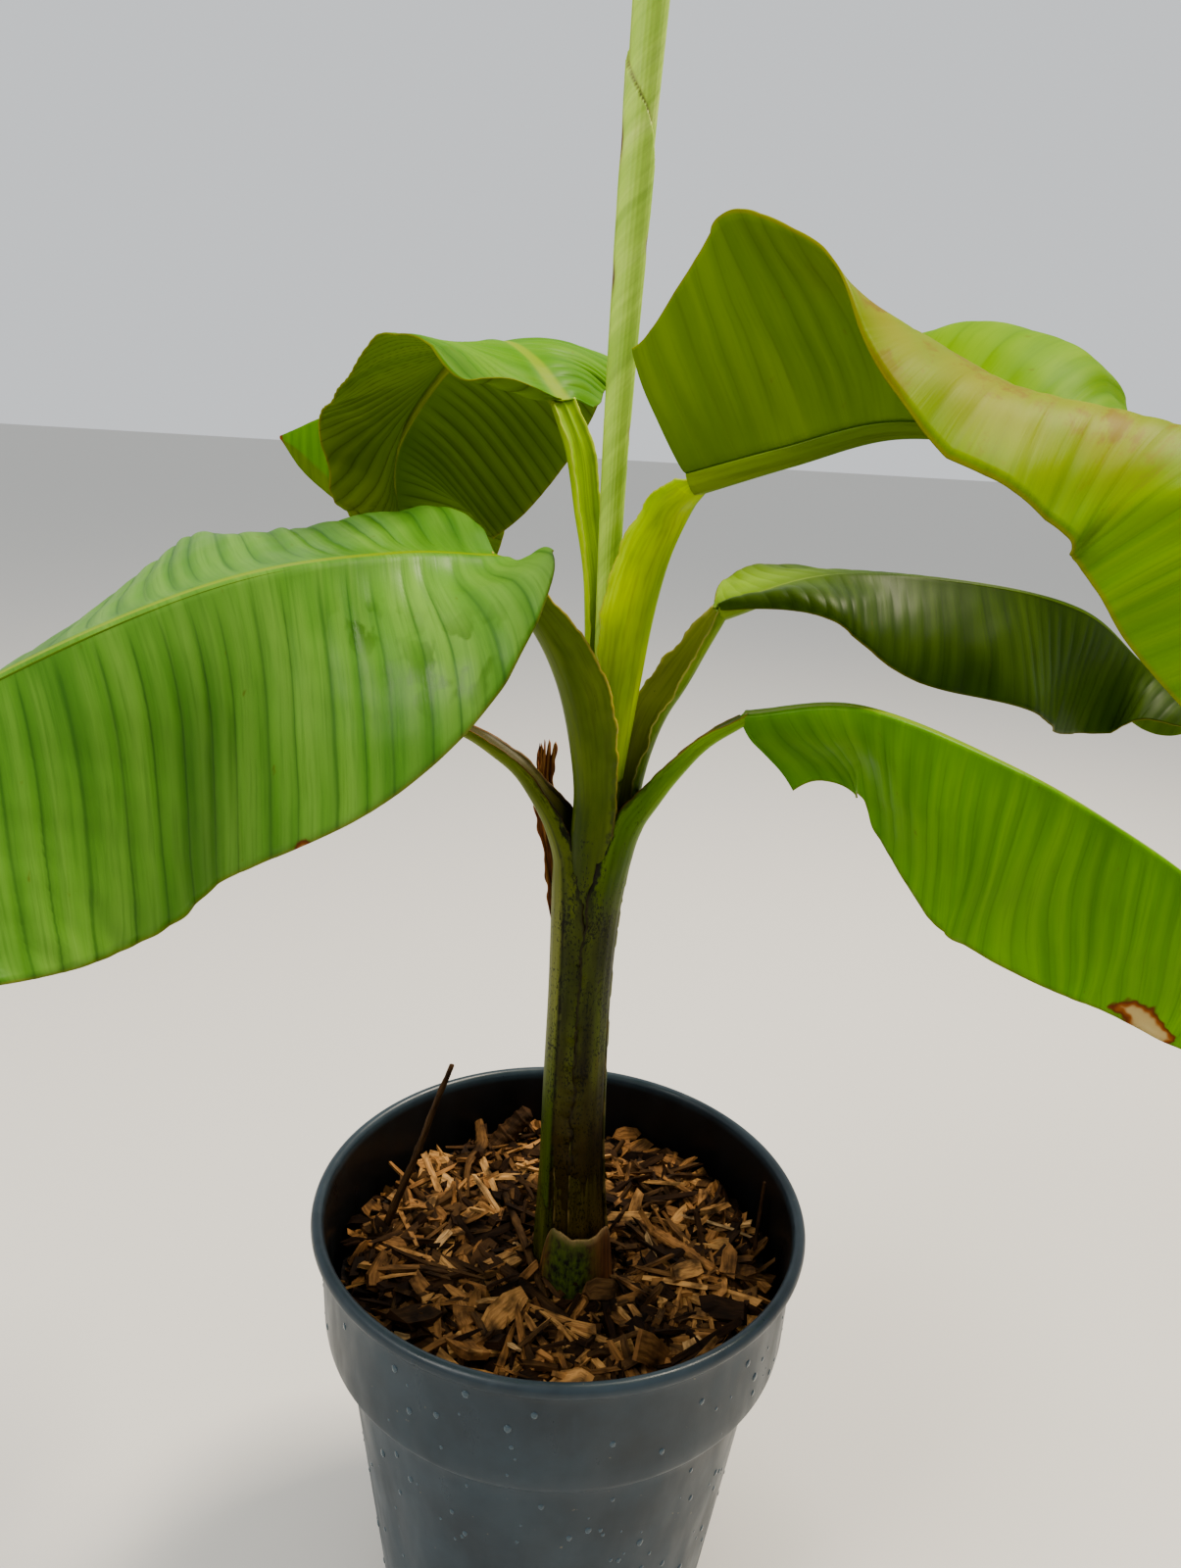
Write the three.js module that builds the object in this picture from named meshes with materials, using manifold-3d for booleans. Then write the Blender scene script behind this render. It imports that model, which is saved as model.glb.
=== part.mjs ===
// A young banana plant in a round plastic pot.
// Millimetres, +Z up, origin at the centre of the pot's flat underside, the front towards -Y.
import * as THREE from 'three';
import { mergeVertices } from 'three/addons/utils/BufferGeometryUtils.js';
import Module from 'manifold-3d';

const wasm = await Module();
wasm.setup();

// Gap between pieces that touch
const CLEAR = 0.3;
// Shortest edge that a cut may leave
const CUT_TOLERANCE = 0.03;

// Pot: a tapered wall under a straight collar, with a rounded lip
const POT_RADIUS = 120;
const POT_HEIGHT = 240;
const POT_FOOT_RADIUS = 82.5;
const POT_WALL = 3;
const POT_FLOOR = 4;
const LIP_HEIGHT = 10;
const LIP_WIDTH = 6;
const COLLAR_RADIUS = 115.5;
const COLLAR_DEPTH = 57;
const COLLAR_STEP = 9;
const BODY_TOP_RADIUS = 104;
const POT_SIDES = 48;

// Compost and mulch: level at the stem's foot, uneven towards the wall
const FILL_LEVEL = 198;
const FILL_FLAT_RADIUS = 27;
const FILL_SWELL = 5;
const FILL_SIDES = POT_SIDES;
const STEM_FOOT = FILL_LEVEL + CLEAR;

// Blades and limbs
const BLADE_THICKNESS = 4.2;
const BLADE_ROWS = 16;
const HALF_COLUMNS = 4;
const OUTLINE_PEAK = 0.37;
const OUTLINE_FULLNESS = 0.45;
const OUTLINE_LEAST = 0.14;
const RIB_SIDES = 8;
const RIB_SHARE = 0.85;
const RIB_TIP_WIDTH = 3;
const RIB_FLATNESS = 0.8;
const RIB_STEPS = 10;
const LIMB_SIDES = 12;
const LIMB_STEPS = 14;

// Pseudostem: the wrapped leaf sheaths from the flat cut at the mulch up to the fork
const STEM = {
  path: [[9, 0, 185], [5, 0, 250], [4, 0, 330], [4, -1, 380], [5, -2, 405]],
  widths: [44, 32, 27, 29, 33],
  flatness: 0.92,
};

// The inner sheaths above the fork, which the three youngest leaves come out of
const INNER_SHEATH = {
  path: [[6, 4, 396], [8, 5, 450], [9, 5, 506]],
  widths: [22, 21, 19],
  flatness: 0.8,
};

// The newest leaf, still rolled into a spear
const ROLLED_LEAF = {
  path: [[6, 5, 500], [5, 3, 580], [6, 2, 660], [8, 0, 750], [11, -1, 850], [14, -2, 958]],
  widths: [9, 10.5, 13.2, 13.8, 12, 3],
  flatness: 1,
};

// Each leaf. heading: the way the rib runs in plan, in degrees from +X.
// rib: points that the midrib passes through. half: the widest half of the blade.
// right and left: how the two halves bend at four stations from base to tip, each as the
// slope in degrees above level at the rib, halfway out and at the margin.
// rightWidth and leftWidth: width factors at four stations. sweep: how far the veins lean
// forward. roll: the turn of the blade about its rib, in degrees. split: where an arching
// blade is made in two. petiole: its path from the sheath to the blade, and its widths.
const LEAVES = [
  {
    name: '1', heading: -155, half: 89,
    rib: [[-34, -55, 555], [-70, -78, 556], [-118, -111, 548], [-173, -149, 522],
      [-224, -192, 485], [-268, -222, 437]],
    right: [[3, 20, -6], [-4, -2, -19], [-5, 6, -24], [-18, -26, -39]],
    left: [[-52, 53, -83], [-68, -87, -91], [-59, -43, -81], [-50, -53, -72]],
    rightWidth: [1.02, 0.96, 1.01, 1], leftWidth: [0.86, 1.06, 1.02, 0.96],
    sweep: [-0.48, 0.22, 0.29, 0.5], roll: [-2, 3, -1],
    petiole: {
      path: [[5, -7, 396], [6, -10, 457], [2, -16, 492], [-7, -26, 517], [-20, -40, 538],
        [-34, -55, 555]],
      widths: [20, 21, 25, 23, 19, 13],
    },
  },
  {
    name: '2', heading: 125, half: 77, split: 0.4,
    rib: [[-17, 17, 612], [-33, 32, 629], [-51, 60, 636], [-78, 100, 625], [-107, 128, 585],
      [-111, 151, 544], [-120, 159, 499], [-124, 160, 458]],
    right: [[5, 5, -9], [-1, -8, -31], [-30, -43, -50], [-30, -43, -51], [-20, -30, -40]],
    left: [[22, 24, 2], [-26, -22, -30], [-59, -44, -25], [-70, -42, 7], [-61, -30, 21]],
    rightWidth: [0.96, 1.05, 0.86, 1], leftWidth: [0.71, 1.23, 0.95, 1.01],
    sweep: [-0.33, 0.15, 0.27, 0.5], roll: [1, -3, 0],
    petiole: {
      path: [[3, 9, 500], [0, 9, 541], [-5, 12, 569], [-9, 16, 592], [-17, 17, 612]],
      widths: [10, 10, 11, 13, 11],
    },
  },
  {
    name: '4', heading: -42, half: 90,
    rib: [[33, -50, 588], [65, -64, 599], [97, -83, 609], [132, -108, 606], [180, -143, 596],
      [226, -201, 539], [251, -237, 489]],
    right: [[90, 132, 99], [65, -18, 11], [14, -38, -66], [0, -56, -87]],
    left: [[51, 76, 31], [21, 9, -8], [-1, -33, -31], [-10, -26, -33]],
    rightWidth: [0.89, 1.05, 0.98, 0.99], leftWidth: [1.05, 1, 0.99, 1],
    sweep: [-0.61, 0.02, 0.24, 0.39], roll: [-5, 1, 0],
    petiole: {
      path: [[12, 4, 500], [14, -2, 531], [19, -11, 556], [26, -24, 575], [33, -50, 588]],
      widths: [20, 23, 22, 20, 15],
    },
  },
  {
    name: '5', heading: 15, half: 56,
    rib: [[52, 16, 531], [102, 29, 546], [166, 34, 546], [223, 51, 535], [266, 76, 509],
      [293, 59, 483]],
    right: [[-31, 0, -78], [-54, -51, -84], [-65, -78, -86], [-50, -57, -72]],
    left: [[31, 16, 49], [3, -10, -11], [-11, -22, -32], [-21, -30, -42]],
    rightWidth: [0.9, 1.01, 1.1, 0.89], leftWidth: [0.96, 1.01, 1, 1],
    sweep: [0.29, 0.04, 0.54, 0.22], roll: [15, 1, 1],
    petiole: {
      path: [[13, 5, 396], [18, 7, 443], [21, 9, 467], [27, 11, 486], [37, 14, 503],
        [52, 16, 531]],
      widths: [12, 12, 14, 15, 15, 12],
    },
  },
  {
    name: '6', heading: -8, half: 81,
    rib: [[68, 11, 486], [115, -9, 496], [172, -36, 481], [221, -40, 457], [255, -51, 436],
      [299, -61, 402], [330, -74, 353]],
    right: [[-62, -135, -98], [-75, -122, -99], [-66, -89, -90], [-55, -65, -76]],
    left: [[-31, -50, -60], [-44, -60, -70], [-45, -60, -70], [-40, -50, -60]],
    rightWidth: [0.95, 1.16, 0.9, 0.96], leftWidth: [1, 1, 1, 1],
    sweep: [0.01, 0.36, 0.34, 0.5], roll: [-3, 0, 0],
    petiole: {
      path: [[13, -4, 396], [20, -4, 432], [27, -4, 447], [36, -4, 462], [50, 1, 476],
        [68, 11, 486]],
      widths: [17, 13, 12, 12, 10, 9],
    },
  },
  {
    name: '7', heading: 168, half: 52,
    rib: [[-70, 18, 476], [-98, 26, 475], [-132, 34, 466], [-171, 42, 448], [-214, 50, 418],
      [-248, 56, 385]],
    right: [[-20, -40, -50], [-40, -55, -65], [-40, -60, -70], [-40, -50, -60]],
    left: [[-30, -50, -70], [-55, -70, -80], [-55, -70, -80], [-40, -60, -70]],
    rightWidth: [1, 1, 1, 1], leftWidth: [1, 1, 1, 1],
    sweep: [-0.2, 0.25, 0.3, 0.5], roll: [0, 0, 0],
    petiole: {
      path: [[-3, -2, 396], [-9, 0, 432], [-23, 5, 452], [-39, 9, 465], [-53, 13, 472],
        [-70, 18, 476]],
      widths: [17, 13, 11.5, 10.5, 9.5, 9],
    },
  },
];
const PETIOLE_FLATNESS = 0.82;

// Trim at the foot and the fork
const CUT_LEAF_BASE = { path: [[10, -9, 192], [8, -8, 210], [7, -6, 226]], widths: [36, 33, 31] };
const DRY_SHEATH = {
  path: [[-6, -5, 372], [-11, -4, 395], [-15, -2, 430], [-19, 0, 466]],
  widths: [8, 10, 9, 3],
};
const TWIGS = [
  { name: 'twig_tall', path: [[-92, 12, 196], [-75, 13, 248], [-57, 16, 299]], widths: [4.5, 4, 2.6] },
  { name: 'bark_stick', path: [[-46, 80, 200], [-34, 88, 212], [-22, 94, 224]], widths: [15, 16, 12] },
  { name: 'twig_right', path: [[34, 40, 200], [62, 47, 203], [86, 54, 207]], widths: [5, 4.5, 3] },
];

const MATERIALS = {
  pot: new THREE.MeshStandardMaterial({ color: '#2f3d45', roughness: 0.45 }),
  mulch: new THREE.MeshStandardMaterial({ color: '#7a5233', roughness: 0.95 }),
  stem: new THREE.MeshStandardMaterial({ color: '#5b6b2a', roughness: 0.7 }),
  petiole: new THREE.MeshStandardMaterial({ color: '#86a02f', roughness: 0.5 }),
  leaf: new THREE.MeshStandardMaterial({ color: '#3f7d22', roughness: 0.4 }),
  newLeaf: new THREE.MeshStandardMaterial({ color: '#9db574', roughness: 0.6 }),
  dry: new THREE.MeshStandardMaterial({ color: '#8a5a33', roughness: 0.9 }),
};

// Value at t of a smooth row of numbers, by a uniform Catmull-Rom curve with reflected ends.
function stationValue(rows, t) {
  const last = rows.length - 1;
  const x = Math.min(Math.max(t, 0), 1) * last;
  const i = Math.min(Math.floor(x), last - 1);
  const f = x - i;
  const before = i > 0 ? rows[i - 1] : 2 * rows[0] - rows[1];
  const after = i + 2 <= last ? rows[i + 2] : 2 * rows[last] - rows[last - 1];
  const [b, c] = [rows[i], rows[i + 1]];
  return 0.5 * (2 * b + (c - before) * f + (2 * before - 5 * b + 4 * c - after) * f ** 2
    + (3 * b - before - 3 * c + after) * f ** 3);
}

function smoothCurve(points) {
  const vectors = points.map((p) => new THREE.Vector3(...p));
  return new THREE.CatmullRomCurve3(vectors, false, 'catmullrom', 0.5);
}

// Point, tangent, side and normal on a curve. The side stays square to the heading, so a
// limb that arches over doesn't twist.
function frameAt(curve, t, heading, roll = 0) {
  const angle = THREE.MathUtils.degToRad(heading);
  const point = curve.getPointAt(t);
  const tangent = curve.getTangentAt(t);
  const side = new THREE.Vector3(Math.sin(angle), -Math.cos(angle), 0);
  side.addScaledVector(tangent, -side.dot(tangent)).normalize();
  side.applyAxisAngle(tangent, -THREE.MathUtils.degToRad(roll));
  const normal = new THREE.Vector3().crossVectors(side, tangent);
  return { point, tangent, side, normal };
}

// A closed solid from a geometry, turned right side out.
function toSolid(geometry) {
  const bare = geometry.clone();
  bare.deleteAttribute('normal');
  bare.deleteAttribute('uv');
  const merged = mergeVertices(bare, 1e-4);
  const vertProperties = Float32Array.from(merged.attributes.position.array);
  const triVerts = Uint32Array.from(merged.index.array);
  const build = () => new wasm.Manifold(new wasm.Mesh({ numProp: 3, vertProperties, triVerts }));
  let solid = build();
  if (solid.volume() < 0) {
    for (let i = 0; i < triVerts.length; i += 3) {
      [triVerts[i], triVerts[i + 1]] = [triVerts[i + 1], triVerts[i]];
    }
    solid = build();
  }
  return solid;
}

function toGeometry(solid) {
  const mesh = solid.getMesh();
  const geometry = new THREE.BufferGeometry();
  geometry.setAttribute('position', new THREE.BufferAttribute(mesh.vertProperties, 3));
  geometry.setIndex(new THREE.BufferAttribute(mesh.triVerts, 1));
  geometry.computeVertexNormals();
  return geometry;
}

function indexedGeometry(points, index) {
  const geometry = new THREE.BufferGeometry().setFromPoints(points);
  geometry.setIndex(index);
  return geometry;
}

// The biggest body of a solid, which drops slivers that a cut leaves. Edges shorter than the
// tolerance and points that nearly touch are merged first, which can part a sliver from it.
function largestBody(solid) {
  const bodies = toSolid(toGeometry(solid.simplify(CUT_TOLERANCE))).decompose();
  return bodies.reduce((best, body) => (body.volume() > best.volume() ? body : best));
}

// A tapering limb: rings of an oval section along a smooth path, closed at both ends.
// grow makes it fatter and longer all round, for cutting its neighbours clear of it.
function limbSolid({ path, widths, flatness = 1 }, options = {}) {
  const { heading = 0, sides = LIMB_SIDES, steps = LIMB_STEPS, grow = 0, offset = 0 } = options;
  const curve = smoothCurve(path);
  const points = [];
  const index = [];
  for (let k = 0; k <= steps; k += 1) {
    const t = k / steps;
    const { point, tangent, side, normal } = frameAt(curve, t, heading);
    const along = k === 0 ? -grow : k === steps ? grow : 0;
    const radius = stationValue(widths, t) / 2 + grow;
    for (let j = 0; j < sides; j += 1) {
      const turn = (2 * Math.PI * j) / sides;
      points.push(point.clone()
        .addScaledVector(side, radius * Math.cos(turn))
        .addScaledVector(normal, radius * flatness * Math.sin(turn) + offset)
        .addScaledVector(tangent, along));
    }
  }
  for (let k = 0; k < steps; k += 1) {
    for (let j = 0; j < sides; j += 1) {
      const a = k * sides + j;
      const b = k * sides + ((j + 1) % sides);
      index.push(a, b, b + sides, a, b + sides, a + sides);
    }
  }
  for (let j = 1; j < sides - 1; j += 1) {
    index.push(0, j + 1, j);
    index.push(steps * sides, steps * sides + j, steps * sides + j + 1);
  }
  return toSolid(indexedGeometry(points, index));
}

// Half width of a blade at t: quick to widen at the base, blunt at the tip.
function outline(t) {
  const power = Math.log(0.5) / Math.log(OUTLINE_PEAK);
  return Math.max(Math.sin(Math.PI * t ** power) ** OUTLINE_FULLNESS, OUTLINE_LEAST);
}

// The points of one cross vein, from the rib to the margin of one half of the blade.
function veinPoints(leaf, curve, t, sign) {
  const bend = sign > 0 ? leaf.right : leaf.left;
  const factors = sign > 0 ? leaf.rightWidth : leaf.leftWidth;
  const frame = frameAt(curve, t, leaf.heading, stationValue(leaf.roll, t));
  const width = leaf.half * outline(t) * stationValue(factors, t);
  const [atRib, halfway, atMargin] = [0, 1, 2].map(
    (i) => stationValue(bend.map((row) => row[i]), t),
  );
  const sweep = stationValue(leaf.sweep, t);
  const heading = (s) => {
    const degrees = atRib * (1 - s) * (1 - 2 * s) + halfway * 4 * s * (1 - s)
      + atMargin * s * (2 * s - 1);
    const slope = THREE.MathUtils.degToRad(degrees);
    return new THREE.Vector3()
      .addScaledVector(frame.side, sign * Math.cos(slope))
      .addScaledVector(frame.normal, Math.sin(slope))
      .addScaledVector(frame.tangent, sweep * Math.min(1, 2 * s));
  };
  const points = [frame.point.clone()];
  const substeps = 4;
  const count = HALF_COLUMNS * substeps;
  const here = frame.point.clone();
  for (let k = 0; k < count; k += 1) {
    here.addScaledVector(heading((k + 0.5) / count), width / count);
    if ((k + 1) % substeps === 0) points.push(here.clone());
  }
  return points;
}

// A curved sheet with an even thickness, as a closed solid, from rows of points.
function sheetSolid(grid) {
  const rows = grid.length - 1;
  const columns = grid[0].length;
  const above = [];
  const below = [];
  const edge = new THREE.Vector3();
  const across = new THREE.Vector3();
  for (let k = 0; k <= rows; k += 1) {
    for (let j = 0; j < columns; j += 1) {
      edge.subVectors(grid[Math.min(k + 1, rows)][j], grid[Math.max(k - 1, 0)][j]);
      across.subVectors(grid[k][Math.min(j + 1, columns - 1)], grid[k][Math.max(j - 1, 0)]);
      const normal = new THREE.Vector3().crossVectors(across, edge).normalize();
      above.push(grid[k][j].clone().addScaledVector(normal, BLADE_THICKNESS / 2));
      below.push(grid[k][j].clone().addScaledVector(normal, -BLADE_THICKNESS / 2));
    }
  }
  const layer = above.length;
  const index = [];
  const wall = (a, b) => index.push(a, layer + a, layer + b, a, layer + b, b);
  for (let k = 0; k < rows; k += 1) {
    for (let j = 0; j < columns - 1; j += 1) {
      const a = k * columns + j;
      const b = a + columns;
      index.push(a, a + 1, b + 1, a, b + 1, b);
      index.push(layer + a, layer + b + 1, layer + a + 1, layer + a, layer + b, layer + b + 1);
    }
    wall((k + 1) * columns, k * columns);
    wall((k + 1) * columns - 1, (k + 2) * columns - 1);
  }
  for (let j = 0; j < columns - 1; j += 1) {
    wall(j, j + 1);
    wall(rows * columns + j + 1, rows * columns + j);
  }
  return toSolid(indexedGeometry([...above, ...below], index));
}

// A blade: the sheets of its two halves, with the tapering midrib joined on underneath.
function bladeSolid(leaf) {
  const curve = smoothCurve(leaf.rib);
  const stations = Array.from({ length: BLADE_ROWS + 1 }, (_, k) => k / BLADE_ROWS);
  const [left, right] = [-1, 1].map(
    (sign) => sheetSolid(stations.map((t) => veinPoints(leaf, curve, t, sign))),
  );
  const petioleEnd = leaf.petiole.widths[leaf.petiole.widths.length - 1];
  const rib = limbSolid(
    { path: leaf.rib, widths: [RIB_SHARE * petioleEnd, RIB_TIP_WIDTH], flatness: RIB_FLATNESS },
    { heading: leaf.heading, sides: RIB_SIDES, steps: RIB_STEPS, offset: -BLADE_THICKNESS / 4 },
  );
  return left.add(right).add(rib);
}

// The wall's outer radius at a height on the pot's body.
function bodyRadius(z) {
  const bodyTop = POT_HEIGHT - COLLAR_DEPTH - COLLAR_STEP;
  return POT_FOOT_RADIUS + ((BODY_TOP_RADIUS - POT_FOOT_RADIUS) * z) / bodyTop;
}

function turned(profile, sides) {
  const corners = profile.map(([r, z]) => new THREE.Vector2(r, z));
  const geometry = new THREE.LatheGeometry(corners, sides);
  geometry.rotateX(Math.PI / 2);
  return geometry;
}

// Outer side from the foot up, over the lip, then down the inside to the floor.
function potProfile() {
  const stepFoot = POT_HEIGHT - COLLAR_DEPTH - COLLAR_STEP;
  const stepHead = POT_HEIGHT - COLLAR_DEPTH;
  const lipFoot = POT_HEIGHT - LIP_HEIGHT;
  const footRound = 3;
  const outside = [[0, 0], [POT_FOOT_RADIUS - footRound, 0], [POT_FOOT_RADIUS, footRound]];
  outside.push([bodyRadius(stepFoot / 2), stepFoot / 2], [bodyRadius(stepFoot), stepFoot]);
  const roundStep = 3;
  for (let k = 1; k <= roundStep; k += 1) {
    const turn = (Math.PI / 2) * (k / roundStep);
    outside.push([
      BODY_TOP_RADIUS + (COLLAR_RADIUS - 1.5 - BODY_TOP_RADIUS) * Math.sin(turn),
      stepFoot + COLLAR_STEP * (1 - Math.cos(turn)),
    ]);
  }
  outside.push([COLLAR_RADIUS, lipFoot]);
  const lip = 6;
  for (let k = 0; k <= lip; k += 1) {
    const turn = Math.PI * (k / lip) - Math.PI / 6;
    outside.push([
      POT_RADIUS - LIP_WIDTH / 2 + (LIP_WIDTH / 2) * Math.cos(turn),
      POT_HEIGHT - LIP_WIDTH / 2 + (LIP_WIDTH / 2) * Math.sin(turn),
    ]);
  }
  const inside = [
    [COLLAR_RADIUS - POT_WALL, lipFoot - 2],
    [COLLAR_RADIUS - 1.5 - POT_WALL, stepHead],
    [BODY_TOP_RADIUS - POT_WALL, stepFoot],
    [bodyRadius(POT_FLOOR) - POT_WALL, POT_FLOOR],
    [0, POT_FLOOR],
  ];
  return [...outside, ...inside];
}

// The uneven top of the mulch, level under the stem.
function swell(x, y) {
  const radius = Math.hypot(x, y);
  const rise = THREE.MathUtils.smoothstep(radius, FILL_FLAT_RADIUS, 2.2 * FILL_FLAT_RADIUS);
  return FILL_SWELL * rise * (0.55 + 0.45 * Math.sin(x / 17) * Math.cos(y / 21) + 0.3 * (y / POT_RADIUS));
}

function fillSolid() {
  const stepFoot = POT_HEIGHT - COLLAR_DEPTH - COLLAR_STEP;
  const inner = (z) => bodyRadius(z) - POT_WALL - CLEAR;
  const topRadius = BODY_TOP_RADIUS + 6 - POT_WALL;
  const profile = [
    [0, POT_FLOOR + CLEAR],
    [inner(POT_FLOOR), POT_FLOOR + CLEAR],
    [inner(stepFoot), stepFoot],
    [topRadius, POT_HEIGHT - COLLAR_DEPTH + 3],
    [topRadius, FILL_LEVEL],
  ];
  for (const share of [0.86, 0.7, 0.52]) profile.push([topRadius * share, FILL_LEVEL]);
  profile.push([FILL_FLAT_RADIUS, FILL_LEVEL], [0, FILL_LEVEL]);
  const geometry = turned(profile, FILL_SIDES);
  const position = geometry.attributes.position;
  for (let i = 0; i < position.count; i += 1) {
    if (position.getZ(i) < FILL_LEVEL - 0.01) continue;
    position.setZ(i, position.getZ(i) + swell(position.getX(i), position.getY(i)));
  }
  return toSolid(geometry);
}

const plant = new THREE.Group();

function addNode(name, solid, material) {
  const mesh = new THREE.Mesh(toGeometry(solid), material);
  mesh.name = name;
  plant.add(mesh);
  return mesh;
}

// Pot and its filling
const pot = toSolid(turned(potProfile(), POT_SIDES));
const fill = fillSolid();
addNode('pot', pot, MATERIALS.pot);
addNode('mulch_fill', fill, MATERIALS.mulch);

// Every limb is cut clear of the limbs named before it, which stand inside it.
const limbs = [];
function addLimb(name, shape, options, material) {
  const cutters = limbs.filter((limb) => limb.grown);
  let solid = limbSolid(shape, options);
  for (const cutter of cutters) solid = solid.subtract(cutter.grown);
  solid = largestBody(solid.trimByPlane([0, 0, 1], STEM_FOOT));
  limbs.push({ name, solid, grown: limbSolid(shape, { ...options, grow: CLEAR }) });
  addNode(name, solid, material);
  return solid;
}

addLimb('pseudostem', STEM, { sides: 20, steps: 12 }, MATERIALS.stem);
addLimb('inner_sheath', INNER_SHEATH, { sides: 14, steps: 6 }, MATERIALS.petiole);
addLimb('rolled_leaf', ROLLED_LEAF, { sides: 12, steps: 14 }, MATERIALS.newLeaf);
for (const name of ['1', '4', '2', '6', '7', '5']) {
  const leaf = LEAVES.find((one) => one.name === name);
  const shape = { ...leaf.petiole, flatness: PETIOLE_FLATNESS };
  addLimb(`petiole_${name}`, shape, { heading: leaf.heading }, MATERIALS.petiole);
}

// Blades, each cut clear of every limb. A blade with a split is cut square to its rib there.
for (const leaf of LEAVES) {
  let solid = bladeSolid(leaf);
  for (const limb of limbs) solid = solid.subtract(limb.grown);
  if (leaf.split) {
    const { point, tangent } = frameAt(smoothCurve(leaf.rib), leaf.split, leaf.heading);
    const place = point.dot(tangent);
    const before = solid.trimByPlane(tangent.clone().negate().toArray(), CLEAR / 2 - place);
    const beyond = solid.trimByPlane(tangent.toArray(), place + CLEAR / 2);
    addNode(`leaf_${leaf.name}_base`, largestBody(before), MATERIALS.leaf);
    addNode(`leaf_${leaf.name}_tip`, largestBody(beyond), MATERIALS.leaf);
  } else {
    addNode(`leaf_${leaf.name}`, largestBody(solid), MATERIALS.leaf);
  }
}

// Trim: the old cut leaf base round the foot, the dry sheath at the fork, twigs in the mulch
function addTrim(name, shape, options, material) {
  let solid = limbSolid(shape, { steps: 6, sides: 10, ...options });
  for (const limb of limbs) solid = solid.subtract(limb.grown);
  solid = solid.subtract(fill.translate([0, 0, CLEAR])).subtract(fill);
  addNode(name, largestBody(solid), material);
}

addTrim('cut_leaf_base', { ...CUT_LEAF_BASE, flatness: 0.9 }, { sides: 16 }, MATERIALS.stem);
addTrim('dry_sheath', { ...DRY_SHEATH, flatness: 0.35 }, {}, MATERIALS.dry);
for (const twig of TWIGS) addTrim(twig.name, { ...twig, flatness: 0.7 }, {}, MATERIALS.mulch);

export default plant;
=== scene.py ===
"""Looks of a young banana plant in a round plastic pot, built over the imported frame.

Shapes are worked out in millimetres in the part's own frame: +Z up, the front towards -Y,
the origin under the middle of the pot. They go into their meshes in metres.
"""
import functools
import math

import bpy
import numpy as np
from mathutils import Matrix


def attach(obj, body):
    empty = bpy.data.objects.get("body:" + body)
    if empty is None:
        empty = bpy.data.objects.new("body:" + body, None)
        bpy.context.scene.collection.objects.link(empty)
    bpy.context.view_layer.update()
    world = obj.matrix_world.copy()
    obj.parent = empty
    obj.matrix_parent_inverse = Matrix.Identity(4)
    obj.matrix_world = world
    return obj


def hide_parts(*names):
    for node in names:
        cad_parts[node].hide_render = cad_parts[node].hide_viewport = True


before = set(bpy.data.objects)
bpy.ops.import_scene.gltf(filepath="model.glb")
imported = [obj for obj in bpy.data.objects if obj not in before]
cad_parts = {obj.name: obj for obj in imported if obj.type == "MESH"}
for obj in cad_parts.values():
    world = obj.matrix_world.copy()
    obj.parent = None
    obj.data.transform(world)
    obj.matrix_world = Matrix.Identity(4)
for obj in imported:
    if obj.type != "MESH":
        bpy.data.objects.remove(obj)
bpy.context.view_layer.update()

bl_info = {
    "name": "Potted Banana Plant",
    "version": (1, 0, 0),
    "blender": (4, 5, 0),
    "location": "3D View > Sidebar > Plant",
    "description": "Leaves, stalks, stem, pot and mulch of a potted banana plant",
    "category": "Object",
}

MM = 0.001

# Stem: x, y, z and width at points along it, in millimetres, and its depth over its width
STEM = [[9, 0, 185, 44], [6.4, 0, 215, 37.5], [4.8, 0, 250, 32.5], [3.9, 0, 305, 28.9],
        [3.5, -0.5, 357, 27.3], [3.6, -1, 386, 28.4], [4.5, -2, 405, 30]]
STEM_FLATNESS = 0.92
# Middle of the stem's foot in plan, and how close the chips come to it
STEM_FOOT = (8, -2)
STEM_CLEARANCE = 21
INNER_SHEATH = {"path": [[6, 4, 396], [8, 5, 450], [9, 5, 506]], "widths": [22, 21, 19],
                "flatness": 0.8}
ROLLED_LEAF = {"path": [[6, 5, 500], [5, 3, 580], [6, 2, 660], [8, 0, 750], [11, -1, 850],
                        [14, -2, 958]],
               "widths": [9, 10.5, 13.2, 13.8, 12, 3]}
DRY_SHEATH = {"path": [[-8.5, 1, 374], [-10.5, 4, 397], [-13.5, 7, 416], [-18, 12, 438],
                       [-18.5, 17, 464]],
              "widths": [5, 6.5, 8, 8.5, 8]}

# Filling: its level at the stem, its radius there and at the wall, how far it swells, the
# level of its foot, how far its side stays inside the pot's outside, and the chips' circle
FILL_LEVEL = 198
FILL_FLAT_RADIUS = 27
FILL_RADIUS = 106.5
FILL_SWELL = 5
FILL_FOOT = 4.3
FILL_INSET = 3.4
CHIP_RADIUS = 110

# Pot: the height of the step under the collar, the radius below and above it, and by how
# much the collar widens over its rise
STEP_HEIGHT = 9
SHOULDER_RADIUS = 104
COLLAR_RADIUS = 114
COLLAR_FLARE = 1.3
COLLAR_RISE = 45

# Levels between which an outer sheath's strip sinks into its stalk, and how proud it stands
PANEL_TOP = (428, 400)
PANEL_RISE = 0.35
# Points round the outer arc and the inner skin of a stalk's section
OUTER_POINTS, INNER_POINTS = 37, 27

# Camera: its place in metres, and its axes by rows, from the pot's ellipses and the horizon
CAMERA_PLACE = (0.0029, -0.4754, 0.5993)
CAMERA_AXES = ((0.9983, -0.0586, 0.0), (0.0173, 0.2942, -0.9556), (0.0560, 0.9540, 0.2947))

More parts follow.
